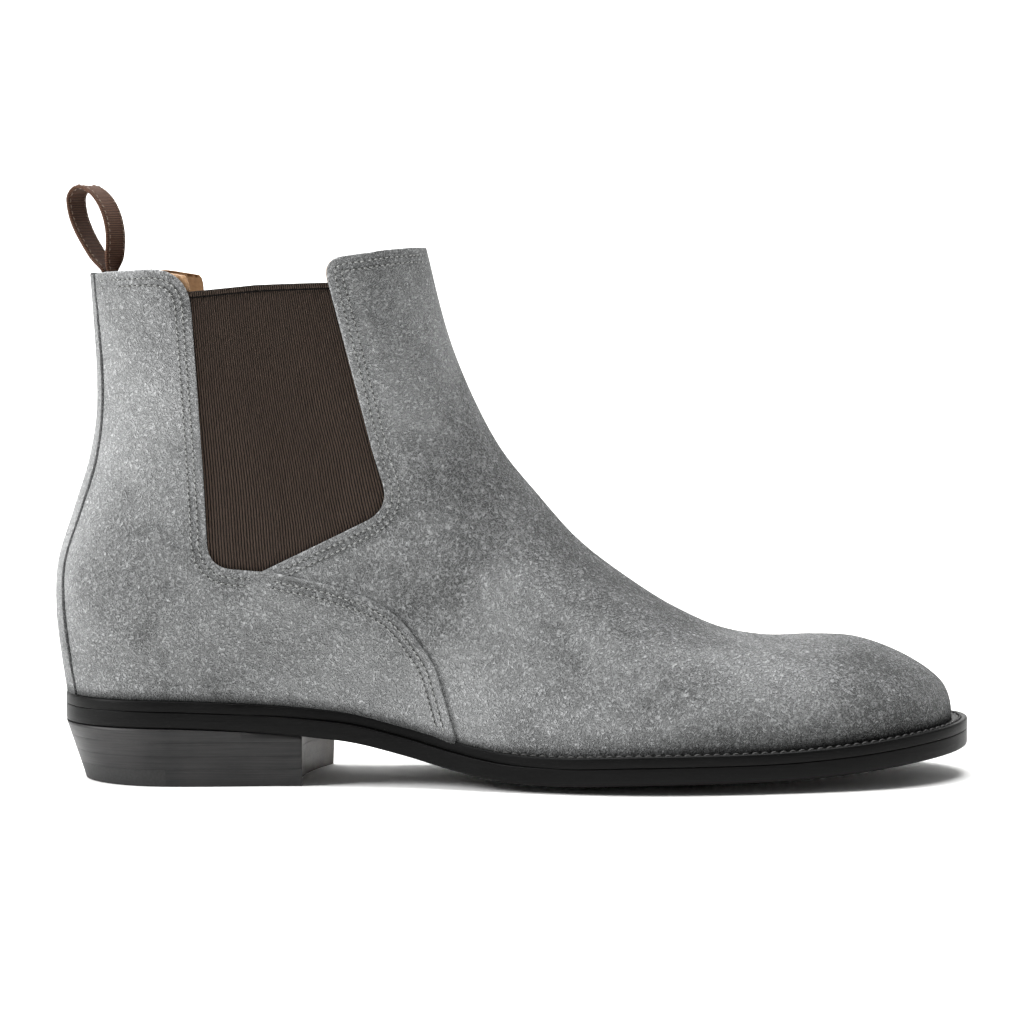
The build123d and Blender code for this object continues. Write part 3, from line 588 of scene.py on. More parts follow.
# The wax fills the lifts' joints, and only the one over the top piece stays open as a fine line.
SHUT_JOINT = 0.03
OPEN_JOINT = 0.12
LIFTS = ["heel_lift_bottom", "heel_lift_middle", "heel_lift_top"]
for name, z0, z1, joint in zip(LIFTS, LIFT_SEAMS, LIFT_SEAMS[1:], [OPEN_JOINT, SHUT_JOINT, SHUT_JOINT]):
    levels = [(z0, 0.5, 0.05), (z0, 0.5, 0.6), (z0, 0.5, 1), (z0 + joint / 3, 0.01, 1), (z0 + joint, 0, 1)]
    levels += [(z0 + (z1 - z0) * k, 0, 1) for k in (0.3, 0.5, 0.7)] + [(z1 - SHUT_JOINT, 0, 1)]
    levels += [(z1 - SHUT_JOINT / 3, 0.01, 1), (z1, 0.5, 1), (z1, 0.5, 0.6), (z1, 0.5, 0.05)]
    rings = [heel_ring(*level) for level in levels]
    piece = stacked_piece(name + "_leather", rings, heel_black)
    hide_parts(name)
nodes["top_piece"].data.materials[0] = heel_black

# Moulded black rubber: matt, with a fine tooled grain.
rubber, tree, shader = surface("black_heel_rubber", Roughness=0.6, Specular_IOR_Level=0.3)
place = add(tree, "TexCoord").outputs["Object"]
grain = add(tree, "TexNoise", {"Scale": 1200.0, "Detail": 3.0}, {"Vector": place})
add(tree, "ValToRGB", links={"Fac": grain.outputs["Fac"]}, stops=[(0.0, "#191919"), (1.0, "#303030")],
    into=shader.inputs["Base Color"])
add(tree, "Bump", {"Strength": 0.3, "Distance": 0.0002}, {"Height": grain.outputs["Fac"]},
    into=shader.inputs["Normal"])
nodes["rubber_heel_tip"].data.materials[0] = rubber


# ======== Inside the bottom: insole, rib, cork, shank, nails and sock liner ========
# These are the CAD pieces as they are, each in its own finish; the sock liner shows down the opening.
def plain_grain(name, dark, light, scale, rough, bump_mm=0.1, metallic=0.0):
    """A mottled finish: noise of the real grain's size in colour, roughness and bump."""
    material, tree, shader = surface(name, Metallic=metallic)
    place = add(tree, "TexCoord").outputs["Object"]
    grain = add(tree, "TexNoise", {"Scale": scale, "Detail": 6.0, "Roughness": 0.6}, {"Vector": place})
    add(tree, "ValToRGB", links={"Fac": grain.outputs["Fac"]}, stops=[(0.3, dark), (0.7, light)],
        into=shader.inputs["Base Color"])
    add(tree, "MapRange", {"To Min": rough - 0.12, "To Max": rough + 0.12},
        {"Value": grain.outputs["Fac"]}, into=shader.inputs["Roughness"])
    add(tree, "Bump", {"Strength": 0.5, "Distance": bump_mm / 1000}, {"Height": grain.outputs["Fac"]},
        into=shader.inputs["Normal"])
    return material


tan_lining = plain_grain("glazed_tan_calf_lining", "#94714f", "#b08a63", 700.0, 0.5)
fabric = plain_grain("cotton_twill_backing", "#7d7a73", "#a19d94", 900.0, 0.9)
inside = {
    "sock_liner": tan_lining,
    "insole": plain_grain("vegetable_tanned_insole_leather", "#a07c55", "#c29a70", 400.0, 0.6),
    "insole_rib": fabric,
    "vamp_interlining": fabric,
    "quarter_interlining": fabric,
    "cork_filler": plain_grain("ground_cork_and_resin", "#6a4a2e", "#a07a52", 500.0, 0.85, 0.4),
    "toe_puff": plain_grain("leather_board", "#6d5640", "#8b7154", 600.0, 0.8),
    "shank": plain_grain("tempered_steel_strip", "#7c7f84", "#a3a6aa", 200.0, 0.35, 0.02, 1.0),
    "heel_nails": plain_grain("drawn_brass_wire", "#b08d44", "#d0ab60", 300.0, 0.35, 0.02, 1.0),
}
inside["heel_counter"] = inside["toe_puff"]
inside["heel_seat_filler"] = inside["cork_filler"]
inside["top_piece_pins"] = inside["heel_nails"]
for name, material in inside.items():
    nodes[name].data.materials[0] = material


# ======== Patterns: where the upper's pieces end ========
# The pieces are cut to lines drawn on the last in side view. Each line is found again on the last's
# surface, and a piece is the surface between four such lines.
def rounded(corners, radii, step=1.0):
    """A line through corners, each rounded by an arc of its radius, in points about step apart."""
    corners = [np.array(c, float) for c in corners]
    parts = [corners[0][None]]
    for before, corner, after, radius in zip(corners, corners[1:], corners[2:], radii):
        d0, d1 = unit(before - corner), unit(after - corner)
        half = math.acos(float(np.clip(d0 @ d1, -1, 1))) / 2
        reach_back = min(radius / math.tan(half), 0.49 * np.linalg.norm(before - corner),
                         0.49 * np.linalg.norm(after - corner))
        share = np.linspace(0, 1, 13)[:, None]
        a, b = corner + d0 * reach_back, corner + d1 * reach_back
        parts.append((1 - share) ** 2 * a + 2 * share * (1 - share) * corner + share**2 * b)
    parts.append(corners[-1][None])
    return resample(np.concatenate(parts), step=step)


def resample(line, count=None, step=1.0):
    """A line's points spaced evenly."""
    run = np.r_[0, np.cumsum(np.linalg.norm(np.diff(line, axis=0), axis=1))]
    at = np.linspace(0, run[-1], count or max(int(run[-1] / step), 2) + 1)
    return np.stack([np.interp(at, run, line[:, i]) for i in range(line.shape[1])], -1)


def find_on_last(line):
    """(around, up) of side-view points, by Newton's method from the nearest point of a coarse net."""
    s, t = np.meshgrid(np.linspace(0, 1, 61), np.linspace(0, 1, 61), indexing="ij")
    net = np.stack(side_place(s, t), -1).reshape(-1, 2)
    near = ((line[:, None] - net[None]) ** 2).sum(-1).argmin(1)
    s, t = s.ravel()[near], t.ravel()[near]
    d = 1e-4
    for _ in range(12):
        here = np.stack(side_place(s, t), -1)
        ds = (np.stack(side_place(s + d, t), -1) - here) / d
        dt = (np.stack(side_place(s, t + d), -1) - here) / d
        miss = line - here
        cross = ds[:, 0] * dt[:, 1] - ds[:, 1] * dt[:, 0]
        s = np.clip(s + (miss[:, 0] * dt[:, 1] - miss[:, 1] * dt[:, 0]) / cross, 0, 1)
        t = np.clip(t + (ds[:, 0] * miss[:, 1] - ds[:, 1] * miss[:, 0]) / cross, 0, 0.9999)
    return np.stack([np.arccos(np.clip(1 - 2 * s, -1, 1)) / np.pi, t], -1)


def mirrored(line):
    """The same line on the inner side."""
    return line * [-1, 1]


def patch(left, right, bottom, top):
    """(around, up) all over a piece between four lines: two ruled surfaces less their shared corners."""
    v = np.linspace(0, 1, len(left))[:, None, None]
    u = np.linspace(0, 1, len(bottom))[None, :, None]
    ruled = (1 - u) * left[:, None] + u * right[:, None] + (1 - v) * bottom[None] + v * top[None]
    corners = (1 - v) * ((1 - u) * bottom[0] + u * bottom[-1]) + v * ((1 - u) * top[0] + u * top[-1])
    return ruled - corners


def leather_piece(name, net, lift, thick, material, edge=0.45, painted_rim_light=1.25):
    """A cut of leather: the patch raised by lift, a rounded rim round it, and the same patch as its back."""
    rows, cols = net.shape[:2]
    normal = outward(net[..., 0], net[..., 1])
    face = skin(net[..., 0], net[..., 1]) + normal * (np.zeros((rows, cols)) + lift)[..., None]
    index = np.arange(rows * cols).reshape(rows, cols)
    rim = np.concatenate([index[0], index[1:, -1], index[-1, -2::-1], index[-2:0:-1, 0]])
    flat_face, flat_normal = face.reshape(-1, 3), normal.reshape(-1, 3)
    at, n = flat_face[rim], flat_normal[rim]
    run = unit(np.roll(at, -1, 0) - np.roll(at, 1, 0))
    out = unit(np.cross(run, n))
    rings = [at + out * edge * math.sin(a) - n * edge * (1 - math.cos(a)) for a in np.radians([30, 60, 90])]
    rings.append(at + out * edge - n * (thick - edge))
    rings.append(at + out * edge * 0.5 - n * thick)
    points = np.concatenate([flat_face, *rings, flat_face - flat_normal * thick])
    grid = np.array(stack_faces(rows, cols, closed=False))
    back = grid[:, ::-1] + rows * cols + len(rings) * len(rim)
    loops = [rim] + [rows * cols + k * len(rim) + np.arange(len(rim)) for k in range(len(rings))]
    loops.append(rim + rows * cols + len(rings) * len(rim))
    sides = [np.stack([a, np.roll(a, -1), np.roll(b, -1), b], -1) for a, b in zip(loops, loops[1:])]
    faces = np.concatenate([grid, back, *sides]).tolist()
    piece = mesh_piece(name, points, faces, material)
    # The rim's points carry a colour factor that the suede reads from a point attribute. Above 1 (by default
    # 1.25) it paints a highlight along the cut edge, partly the raw edge's own paler fibres. Below 1 it
    # paints a shadow along the edge. The face keeps 1.
    tone = np.full(len(points), painted_rim_light, np.float32)
    tone[: rows * cols] = 1
    piece.data.attributes.new("painted_edge_light", "FLOAT", "POINT").data.foreach_set("value", tone)
    over_welt = (points[:, 2] - feather(points[:, 0])).astype(np.float32)
    piece.data.attributes.new("over_welt", "FLOAT", "POINT").data.foreach_set("value", over_welt)
    return piece


GORE_CORNER = 11.0
foot_rear = (along(0.1645), height(0.292))
foot = (along(0.2233), height(0.281))
foot_front = (along(0.3683), height(0.4225))
front = (along(0.3483), height(0.55))
lean_front = (along(0.3483) - along(0.3)) / (height(0.9325) - height(0.55))
lean_rear = (along(0.1645) - along(0.1463)) / (height(0.879) - height(0.292))


def rear_edge(z):
    """The gore's rear edge, a straight line leaning back."""
    return (foot_rear[0] - lean_rear * (z - foot_rear[1]), z)


def front_edge(z):
    """The gore's front edge over its bend."""
    return (front[0] - lean_front * (z - front[1]), z)


SEAM = [(along(a), height(h)) for a, h in [(0.2333, 0.283), (0.297, 0.256), (0.368, 0.207), (0.413, 0.08)]]
SEAM_FOOT = (along(0.4375), float(feather(along(0.4375))))
SEAM_LINE = rounded([SEAM_FOOT] + SEAM[::-1], [25, 40, 25])
QUARTER_CORNER = rear_edge(height(0.955))
FLAP_CORNER = front_edge(height(0.975))
GORE_TIP = (along(0.2245), height(0.2835))
RIM = height(0.942)  # the top edge at the back
REAR_LINE = rounded([GORE_TIP, foot_rear, QUARTER_CORNER, (along(0.05), height(0.9443))], [GORE_CORNER, 15])
LINING_LINE = rounded([GORE_TIP, foot_rear, QUARTER_CORNER, (along(0.1), height(0.951))], [GORE_CORNER, 12])
FRONT_LINE = rounded([GORE_TIP, foot_front, front, FLAP_CORNER, (along(0.34), height(0.988))],
                     [GORE_CORNER, 44, 9])

quarter_edge = find_on_last(resample(np.concatenate([SEAM_LINE[:-1], REAR_LINE]), 260))
lining_edge = find_on_last(resample(np.concatenate([SEAM_LINE[:-1], LINING_LINE]), 260))
vamp_edge = find_on_last(resample(np.concatenate([SEAM_LINE[:-1], FRONT_LINE]), 260))

STRIP_TOP = 19.0
STRIP_BOTTOM = 28.0


def strip_edge(up):
    """(around, up) where the back strip ends: the place with its half width, at each height."""
    tries = np.linspace(0.001, 0.5, 400)
    a, t = np.meshgrid(tries, up)
    place = skin(a, t)
    narrowed = np.clip((place[..., 2] - height(0.18)) / (0.44 * SHAFT_HEIGHT), 0, 1)
    half = 0.5 * (STRIP_BOTTOM + (STRIP_TOP - STRIP_BOTTOM) * narrowed)
    passed = (-place[..., 1] > half).argmax(1)
    return np.stack([tries[passed], up], -1)


def quarter_top(count, first, last):
    """The quarters' top edge between two places along it, from the back to near the gore's corner."""
    x = np.linspace(first, last, count)
    rim_x = [0, along(0.03), along(0.05), along(0.1)]
    z = np.interp(x, rim_x, [RIM, RIM, height(0.9443), height(0.951)])
    back_x = through(z, BACK)
    return find_on_last(np.stack([np.maximum(x, back_x + 1e-4), z], -1))


BACK_X = float(through(RIM, BACK)) + 1e-4
back_top = find_on_last(np.array([[BACK_X, RIM]]))[0]
seam_end = len(SEAM_LINE) / (len(SEAM_LINE) + len(REAR_LINE))
corner_end = seam_end + 24 / (len(SEAM_LINE) + len(REAR_LINE))
strip_share = np.interp(np.linspace(0, 1, 260), [0, seam_end, corner_end, 1], [0, 0.22, 0.29, 1])
strip_rise = back_top[1] * strip_share
strip_side = strip_edge(strip_rise)
strip_corner = side_place((1 - math.cos(math.pi * strip_side[-1, 0])) / 2, strip_side[-1, 1])


# ======== Linings ========
# Glazed tan calf, cut in a front piece and one piece round the quarters, with the gores left open.
LINING_DEPTH = 2.8
LINING = 1.0
even = np.linspace(0, 1, 161)[:, None]
vamp_foot = vamp_edge[0] * (1 - even) + (mirrored(vamp_edge[:1])[0] + [2, 0]) * even
FLAP_TOP = [(along(0.362), height(0.995)), (along(0.39), height(1.0))]
flap_line = np.array([FRONT_LINE[-1], *FLAP_TOP, (along(0.404) - 0.01, height(1.0))])
flap_half = find_on_last(resample(flap_line, 81))
flap_top = np.concatenate([flap_half, (mirrored(flap_half) + [2, 0])[-2::-1]])
vamp_net = patch(vamp_edge, mirrored(vamp_edge) + [2, 0], vamp_foot, flap_top)
lining_cut = {"lift": -LINING_DEPTH, "thick": LINING, "material": tan_lining, "edge": 0.3}
lining_front = leather_piece("vamp_lining_calf", vamp_net[::2, ::2], **lining_cut)
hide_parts("vamp_lining")

round_foot = mirrored(lining_edge[:1])[0] * (1 - even) + lining_edge[0] * even
top_half = quarter_top(81, BACK_X, along(0.1))
round_top = np.concatenate([mirrored(top_half)[::-1], top_half[1:]])
round_net = patch(mirrored(lining_edge), lining_edge, round_foot, round_top)
under_rim = np.interp(np.abs(round_net[..., 0]), *top_half.T) - 0.002
round_net[..., 1] = np.minimum(round_net[..., 1], under_rim)
lining_rear = leather_piece("quarter_lining_calf", round_net[::2, ::2], **lining_cut)
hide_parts("quarter_lining")


# ======== Elastic gores ========
# Dark brown rubber-cored webbing with ribs up and down, sewn in behind the suede, its top edge turned over
# and sewn down in a narrow hem.
GORE_DEPTH = 1.6
GORE_THICK = 1.2
RIB_PITCH = 0.95
YARN_PITCH = 0.22
HEM = 1.7

# Cotton-covered rubber yarn: dull, with lighter yarn on the ribs. The colour goes near black between the ribs
# and along the hem, a painted shade in the grooves between ribs and in the hem's crease.
elastic, tree, shader = surface("ribbed_brown_elastic_webbing", Roughness=0.85, Specular_IOR_Level=0.15)
uv = add(tree, "UVMap", uv_map="webbing").outputs["UV"]
rib_wave = {"Scale": math.pi / 10 / RIB_PITCH, "Distortion": 0.9, "Detail": 2.0, "Detail Scale": 2.0}
ribs = add(tree, "TexWave", rib_wave, {"Vector": uv}, bands_direction="X")
yarn_wave = {"Scale": math.pi / 10 / YARN_PITCH, "Distortion": 3.0, "Detail": 3.0, "Detail Scale": 1.5}
yarn = add(tree, "TexWave", yarn_wave, {"Vector": uv}, bands_direction="DIAGONAL")
fuzz = add(tree, "TexNoise", {"Scale": 3.0, "Detail": 5.0, "Roughness": 0.7}, {"Vector": uv})
both = add(tree, "Math", links={0: yarn.outputs["Fac"], 1: fuzz.outputs["Fac"]}, operation="MULTIPLY")
ply = add(tree, "MapRange", {"From Max": 0.5, "To Min": 0.45}, {"Value": both.outputs[0]})
weave = add(tree, "Math", links={0: ply.outputs[0], 1: ribs.outputs["Fac"]}, operation="MULTIPLY")
drop_down = add(tree, "SeparateXYZ", links={0: uv})
past_hem = add(tree, "Math", {1: HEM}, {0: drop_down.outputs["Y"]}, operation="ADD")
from_hem = add(tree, "Math", links={0: past_hem.outputs[0]}, operation="ABSOLUTE")
# Painted shade: the colour goes near black along the hem's crease.
hem_crease_shade = add(tree, "MapRange", {"From Min": 0.1, "From Max": 0.5}, {"Value": from_hem.outputs[0]})
folded = add(tree, "Math", links={0: weave.outputs[0], 1: hem_crease_shade.outputs[0]}, operation="MULTIPLY")
# The ramp paints the grooves between ribs near black, a painted shade beside the lighter ribs.
add(tree, "ValToRGB", links={"Fac": folded.outputs[0]}, stops=[(0.08, "#050302"), (0.6, "#6f5f54")],
    into=shader.inputs["Base Color"])
add(tree, "Bump", {"Strength": 1.0, "Distance": 0.0008}, {"Height": weave.outputs[0]},
    into=shader.inputs["Normal"])

MARGIN = 3.0  # how far the webbing runs on under the suede
gore_left = [(foot_rear[0] - MARGIN, foot_rear[1] - MARGIN),
             (rear_edge(height(0.9))[0] - MARGIN, height(0.8995))]
gore_bottom = [(foot_rear[0] - MARGIN, foot_rear[1] - MARGIN), (foot[0], foot[1] - MARGIN),
               (foot_front[0] + MARGIN, foot_front[1] - MARGIN)]
gore_right = [(foot_front[0] + MARGIN, foot_front[1] - MARGIN), (front[0] + MARGIN, front[1]),
              (front_edge(height(0.924))[0] + MARGIN, height(0.924))]
gore_top = [gore_left[-1], (along(0.22), height(0.917)), gore_right[-1]]
GORE_ROWS, GORE_COLS = 150, 300
gore_sides = [find_on_last(resample(np.array(line), GORE_ROWS)) for line in (gore_left, gore_right)]
gore_ends = [find_on_last(resample(np.array(line), GORE_COLS)) for line in (gore_bottom, gore_top)]
gore_net = patch(*gore_sides, *gore_ends)
place = skin(gore_net[..., 0], gore_net[..., 1])
width = np.linalg.norm(place[0, 0] - place[0, -1]) * np.linspace(0, 1, GORE_COLS)
drop = np.cumsum(np.linalg.norm(np.diff(place[::-1], axis=0), axis=-1), axis=0)
drop = np.concatenate([0 * drop[:1], drop])[::-1]
ribbed = 0.16 * np.cos(2 * np.pi * width / RIB_PITCH)[None]
hem = 0.4 * (1 - ease((drop - HEM) / 0.5)) - 0.5 * np.exp(-(((drop - HEM - 0.3) / 0.45) ** 2))
gore_lift = -GORE_DEPTH - 0.15 + ribbed + hem
cloth = np.stack([np.broadcast_to(width, place.shape[:2]), -drop], -1).reshape(-1, 2)


def lay_flat(piece, name, flat):
    """A piece's own UV map, from each point's place in millimetres on the flat cloth."""
    corners = np.zeros(len(piece.data.loops), np.int32)
    piece.data.loops.foreach_get("vertex_index", corners)
    piece.data.uv_layers.new(name=name).data.foreach_set("uv", flat[corners].ravel())


for name, side in [("gore_lateral", 1), ("gore_medial", -1)]:
    piece = leather_piece(name + "_elastic", gore_net * [side, 1], gore_lift, GORE_THICK, elastic, 0.3)
    flat = np.zeros((len(piece.data.vertices), 2))
    flat[: len(cloth)] = cloth
    flat[-len(cloth) :] = cloth
    lay_flat(piece, "webbing", flat)
    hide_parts(name)


# ======== Suede upper ========
# Grey calf suede, the flesh side brushed to a short nap: a vamp cut in one piece over the instep, two
# quarters whose front edges lie on the vamp, and a strip down the back seam.
SUEDE = 1.6
LIP = 1.1

# Brushed calf suede: short fibres lie in patches, so the tone shifts in clouds, and the nap stands up in fine
# crawling ridges, drawn coarser than the real fibres so that they show. Its colour is darkened along the
# welt, a painted shade where the upper meets the welt. It is also lighter towards the heel and darker towards
# the toe, a painted light from the lamp at the heel's side.
suede, tree, shader = surface("brushed_grey_calf_suede", Roughness=0.95, Specular_IOR_Level=0.12,
                              Sheen_Weight=0.2, Sheen_Roughness=0.5)
shader.inputs["Sheen Tint"].default_value = paint("#c9cac9")
place = add(tree, "TexCoord").outputs["Object"]
cloud = add(tree, "TexNoise", {"Scale": 17.0, "Detail": 3.0, "Distortion": 0.5}, {"Vector": place})
brushed = add(tree, "TexNoise", {"Scale": 120.0, "Detail": 3.0, "Distortion": 1.2}, {"Vector": place})
nap = add(tree, "TexNoise", {"Scale": 800.0, "Detail": 1.0, "Distortion": 0.9}, {"Vector": place})
fibre = add(tree, "TexNoise", {"Scale": 1700.0, "Detail": 2.0, "Distortion": 1.0}, {"Vector": place})
length = add(tree, "SeparateXYZ", links={0: place})
off = add(tree, "Math", {1: 0.5}, {0: nap.outputs["Fac"]}, operation="SUBTRACT")
ridges = add(tree, "Math", links={0: off.outputs[0]}, operation="ABSOLUTE")
worms = add(tree, "MapRange", {"From Max": 0.13, "To Min": 1.0, "To Max": 0.0}, {"Value": ridges.outputs[0]})
# The first four entries give the suede its own uneven tone. The last, from the X position, is painted light:
# the suede is lighter towards the heel and darker towards the toe, for the lamp at the heel's side.
amounts = [(cloud, "Fac", 0.34, 0.66, 0.33, 0.67), (brushed, "Fac", 0.3, 0.7, -0.07, 0.07),
           (worms, "Result", 0.0, 1.0, -0.24, 0.22), (fibre, "Fac", 0.3, 0.7, -0.14, 0.14),
           (length, "X", -0.045, 0.2, 0.15, -0.13)]
total = None
for source, socket, low, high, least, most in amounts:
    part = add(tree, "MapRange", {"From Min": low, "From Max": high, "To Min": least, "To Max": most},
               {"Value": source.outputs[socket]})
    if total:
        part = add(tree, "Math", links={0: total.outputs[0], 1: part.outputs[0]}, operation="ADD")
    total = part
tone = add(tree, "ValToRGB", links={"Fac": total.outputs[0]}, stops=[(0.1, "#4b4c4c"), (0.9, "#b4b5b6")])
# Painted shade: the colour drops to a fifth at the welt and comes back by 3.6 mm above it, standing in for
# the shade where the upper meets the welt.
welt_near = add(tree, "Attribute", attribute_name="over_welt")
painted_welt_shade = add(tree, "MapRange", {"From Min": 0.3, "From Max": 3.6, "To Min": 0.2},
           {"Value": welt_near.outputs["Fac"]})
# The edge factor paints a highlight along the suede's cut edges. It paints a shadow along the back strip's
# edges and on the vamp beside the quarters' lapped edges.
painted_edge_light = add(tree, "Attribute", attribute_name="painted_edge_light")
shade = add(tree, "Math", links={0: painted_welt_shade.outputs[0], 1: painted_edge_light.outputs["Fac"]}, operation="MULTIPLY")
# The suede's colour times the painted shade along the welt and the painted light and shade along the cut
# edges.
shaded_tone = add(tree, "Mix", data_type="RGBA", blend_type="MULTIPLY")
shaded_tone.inputs["Factor"].default_value = 1.0
tree.links.new(tone.outputs["Color"], shaded_tone.inputs[6])
tree.links.new(shade.outputs[0], shaded_tone.inputs[7])
tree.links.new(shaded_tone.outputs[2], shader.inputs["Base Color"])
half_fibre = add(tree, "Math", {1: 0.5}, {0: fibre.outputs["Fac"]}, operation="MULTIPLY")
pile = add(tree, "Math", links={0: worms.outputs[0], 1: half_fibre.outputs[0]}, operation="ADD")
add(tree, "Bump", {"Strength": 1.0, "Distance": 0.001}, {"Height": pile.outputs[0]},
    into=shader.inputs["Normal"])


def hand(net):
    """The leather's own slight unevenness: a few long waves, under a third of a millimetre."""
    p = skin(net[..., 0], net[..., 1])
    return 0.12 * np.sin(p[..., 0] / 9 + p[..., 2] / 13) + 0.1 * np.sin(p[..., 1] / 8 - p[..., 2] / 7 + 1.3)


def from_right(net):
    """Distance along each row of a patch from its right-hand edge."""
    p = skin(net[..., 0], net[..., 1])
    step = np.linalg.norm(np.diff(p, axis=1), axis=-1)[:, ::-1]
    return np.concatenate([np.zeros((len(p), 1)), np.cumsum(step, axis=1)], 1)[:, ::-1]


vamp = leather_piece("vamp_suede", vamp_net, hand(vamp_net), SUEDE, suede)
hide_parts("vamp")
seam_rows = 260 * len(SEAM_LINE) / (len(SEAM_LINE) + len(FRONT_LINE))
lapped = (np.arange(260) < seam_rows)[:, None]
from_edge = np.minimum(from_right(vamp_net), from_right(vamp_net[:, ::-1])[:, ::-1])
shadow = 1 - 0.55 * lapped * np.exp(-((from_edge / 1.3) ** 2))
tone = np.zeros(len(vamp.data.vertices), np.float32)
vamp.data.attributes["painted_edge_light"].data.foreach_get("value", tone)
tone[: shadow.size] = shadow.ravel()
vamp.data.attributes["painted_edge_light"].data.foreach_set("value", tone)

even = np.linspace(0, 1, 141)[:, None]
quarter_foot = strip_side[0] * (1 - even) + quarter_edge[0] * even
quarter_rim = quarter_top(141, float(strip_corner[0]), along(0.05))
quarter_net = patch(strip_side, quarter_edge, quarter_foot, quarter_rim)
seam_share = np.linspace(0, 1, 260)[:, None]
on_seam = 1 - ease((seam_share - 0.36) / 0.08)
lip = LIP * on_seam * (1 - ease(from_right(quarter_net) / 9))
quarter_lift = lip + hand(quarter_net)
# The quarters' rims are lightened by 1.35: a painted highlight along their cut edges, partly the raw edge's
# own paler fibres.
for name, side in [("quarter_lateral", 1), ("quarter_medial", -1)]:
    piece = leather_piece(name + "_suede", quarter_net * [side, 1], quarter_lift, SUEDE, suede, 0.6, 1.35)
    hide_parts(name)

even = np.linspace(0, 1, 41)[:, None]
strip_foot = mirrored(strip_side[:1])[0] * (1 - even) + strip_side[0] * even
strip_top = mirrored(strip_side[-1:])[0] * (1 - even) + strip_side[-1] * even
strip_net = patch(mirrored(strip_side), strip_side, strip_foot, strip_top)
crown = 0.3 * (1 - np.linspace(-1, 1, 41) ** 4)[None]
# The back strip's rim is darkened to 0.3: a painted shadow along its raised edges.
backstay = leather_piece("backstay_suede", strip_net, crown + 0.75, SUEDE, suede, edge=0.7, painted_rim_light=0.3)
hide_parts("backstay")


# ======== Upper stitching ========
# Grey polyester thread in two rows beside each gore and along the seam and top edges. A short dark capsule
# between each two stitches is the painted shade of the needle hole there.
ROWS = (2.2, 4.5)
UPPER_STITCH = 2.1
PROUD = 0.12
grey_thread = thread("grey_polyester_thread", ("#6a6b6a", "#a3a4a2"))
painted_hole_shade = plain_grain("painted_needle_hole_shade", "#2e2e2d", "#444443", 2000.0, 0.95)


def beside(line, gap):
    """A side-view line moved to its left by gap."""
    run = unit(np.gradient(line, axis=0))
    return line + np.stack([-run[:, 1], run[:, 0]], -1) * gap


def stitch_row(line, normals, lift=0.0):
    """Stitches along a line raised by lift: their places, their directions and the way out under each."""
    places, tangents = spaced(line + normals * lift, UPPER_STITCH)
    nearest = ((places[:, None] - line[None]) ** 2).sum(-1).argmin(1)
    return places, tangents, normals[nearest]


sewn = []
for gap in ROWS:
    seam_row = beside(SEAM_LINE, gap)[int(gap) + 2 : -3]
    rear_row = beside(REAR_LINE, gap)[3 : -int(gap) - 1]
    front_row = beside(FRONT_LINE, -gap)[6:]
    flap_line = np.array([(along(0.34), height(0.988)), *FLAP_TOP, (along(0.402), TOP)])
    flap_row = beside(resample(flap_line), -gap)
    top_row = beside(resample(np.array([(along(0.05), height(0.9443)), (strip_corner[0] + 1.5, RIM)])), gap)
    sewn += [(seam_row, LIP * 0.8 if gap < 3 else LIP * 0.5), (rear_row, 0.0), (front_row, 0.0),
             (flap_row, 0.0), (top_row, 0.0)]
rows = []
for row, lift in sewn:
    found = find_on_last(resample(row, step=0.7))
    for side in (1, -1):
        on = (found * [side, 1]).T
        rows.append(stitch_row(skin(*on), outward(*on), lift + PROUD))
places, tangents, normals = map(np.concatenate, zip(*rows))
upper_stitches = stitch_piece("upper_stitches", places, tangents, normals, 1.35, 0.42, grey_thread)
# Painted shade: a short dark capsule between each two stitches stands in for the shade in the needle hole.
sunk = places + tangents * UPPER_STITCH / 2 - normals * PROUD
needle_hole_shade = stitch_piece("needle_hole_shade", sunk, tangents, normals, 0.85, 0.42, painted_hole_shade)


# ======== Pull loop ========
# Brown grosgrain ribbon folded double: its ends are sewn flat inside the lining at the back, and the loop
# stands open above the edge and folds over.
LOOP_WIDTH = 11.0
LOOP_THICK = 1.1
LOOP_TURN = math.radians(27)
RIBBON_RIB = 0.6
SKIN = 3.8  # suede, backing and lining together
loop_x = float(through(RIM, BACK)) + SKIN + 1.8
# The ribbon's line, (ahead, up) from the rim: a tail, the bow, and the other tail. Each round of corner
# cutting puts two points in place of each, a quarter in from the ends of every run.
tail = [(0.6, -13.5), (0.6, -8), (0.6, -3)]
bow = [(0.65, 1.6), (1.5, 4.6), (2.1, 9.1), (2.2, 14.7), (0.3, 21.6), (-3.7, 27.3), (-9.7, 30.3),
       (-13.8, 26.9), (-13.3, 22), (-12.1, 17.9), (-9.7, 13.2), (-6.9, 9.1), (-4.1, 5.2), (-0.8, 1.6)]
path = np.array(tail + bow + [(-a, b) for a, b in tail[::-1]])
for _ in range(4):
    cut = [0.75 * path[:-1] + 0.25 * path[1:], 0.25 * path[:-1] + 0.75 * path[1:]]
    path = np.concatenate([path[:1], np.stack(cut, 1).reshape(-1, 2), path[-1:]])
path = resample(path, 220)
twist = LOOP_TURN * ease((path[:, 1] + 3) / 10)
fore = np.stack([np.cos(twist), -np.sin(twist), 0 * twist], -1)
across = np.stack([np.sin(twist), np.cos(twist), 0 * twist], -1)
middle = np.array([loop_x, 0, RIM]) + fore * path[:, :1] + [0, 0, 1] * path[:, 1:]
run = unit(np.gradient(middle, axis=0))
flat_out = unit(np.cross(across, run))
half = LOOP_WIDTH / 2
share = np.array([-1, -0.985, -0.9, -0.6, 0, 0.6, 0.9, 0.985, 1, 0.985, 0.9, 0.6, 0, -0.6, -0.9, -0.985])
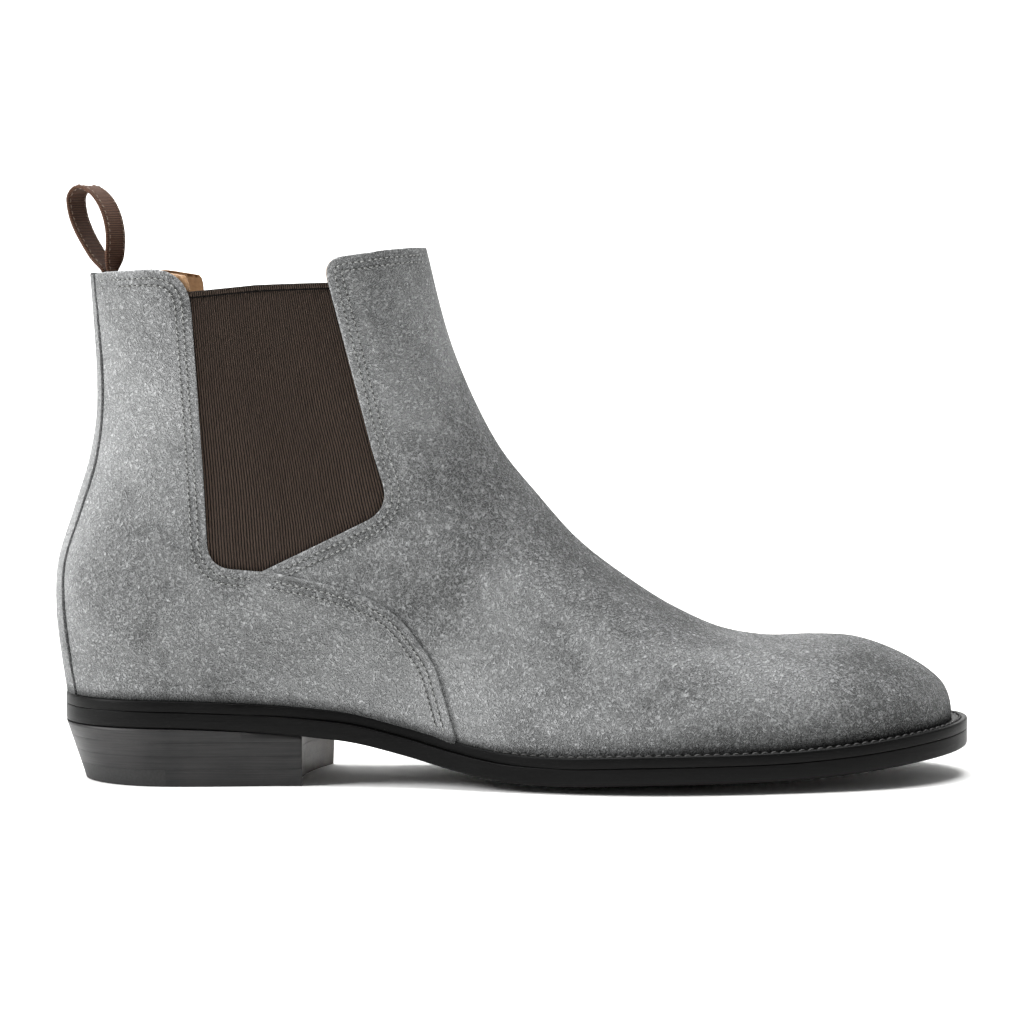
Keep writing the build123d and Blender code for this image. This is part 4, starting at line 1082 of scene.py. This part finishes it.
side = np.array([0, 0.7, 1, 0.86, 0.86, 0.86, 1, 0.7, 0, -0.7, -1, -0.86, -0.86, -0.86, -1, -0.7])
side = side * LOOP_THICK / 2
points = middle[:, None] + across[:, None] * (share * half)[:, None] + flat_out[:, None] * side[:, None]

# Ribbed rayon ribbon: dull, with light ribs across it and darker gaps.
ribbon, tree, shader = surface("brown_grosgrain_ribbon", Roughness=0.8, Specular_IOR_Level=0.2)
uv = add(tree, "UVMap", uv_map="ribbon").outputs["UV"]
rib_wave = {"Scale": math.pi / 10 / RIBBON_RIB, "Distortion": 0.8}
ribs = add(tree, "TexWave", rib_wave, {"Vector": uv}, bands_direction="Y")
yarn = add(tree, "TexNoise", {"Scale": 4.0, "Detail": 4.0}, {"Vector": uv})
weave = add(tree, "Math", links={0: ribs.outputs["Fac"], 1: yarn.outputs["Fac"]}, operation="MULTIPLY")
add(tree, "ValToRGB", links={"Fac": weave.outputs[0]}, stops=[(0.0, "#2a1d16"), (0.7, "#70503f")],
    into=shader.inputs["Base Color"])
add(tree, "Bump", {"Strength": 0.6, "Distance": 0.0003}, {"Height": weave.outputs[0]},
    into=shader.inputs["Normal"])

loop = mesh_piece("pull_loop_ribbon", points, closed_tube(len(path), len(share)), ribbon, body=None)
length = np.r_[0, np.cumsum(np.linalg.norm(np.diff(middle, axis=0), axis=1))]
flat = np.stack(np.broadcast_arrays((share * half)[None], length[:, None]), -1).reshape(-1, 2)
lay_flat(loop, "ribbon", flat)

ribbon_thread = thread("brown_ribbon_thread", ("#4a382e", "#96816f"))
rows = []
for edge in (-1, 1):
    for face in (-1, 1):
        line = middle + across * (edge * (half - 1.3)) + flat_out * (face * (LOOP_THICK * 0.43 + 0.05))
        rows.append(stitch_row(line, flat_out * face))
sewn = map(np.concatenate, zip(*rows))
loop_stitches = stitch_piece("pull_loop_stitches", *sewn, 1.5, 0.4, ribbon_thread, body=None)
for piece in (loop, loop_stitches):
    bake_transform(piece)
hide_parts("pull_loop", "pull_loop_tails")
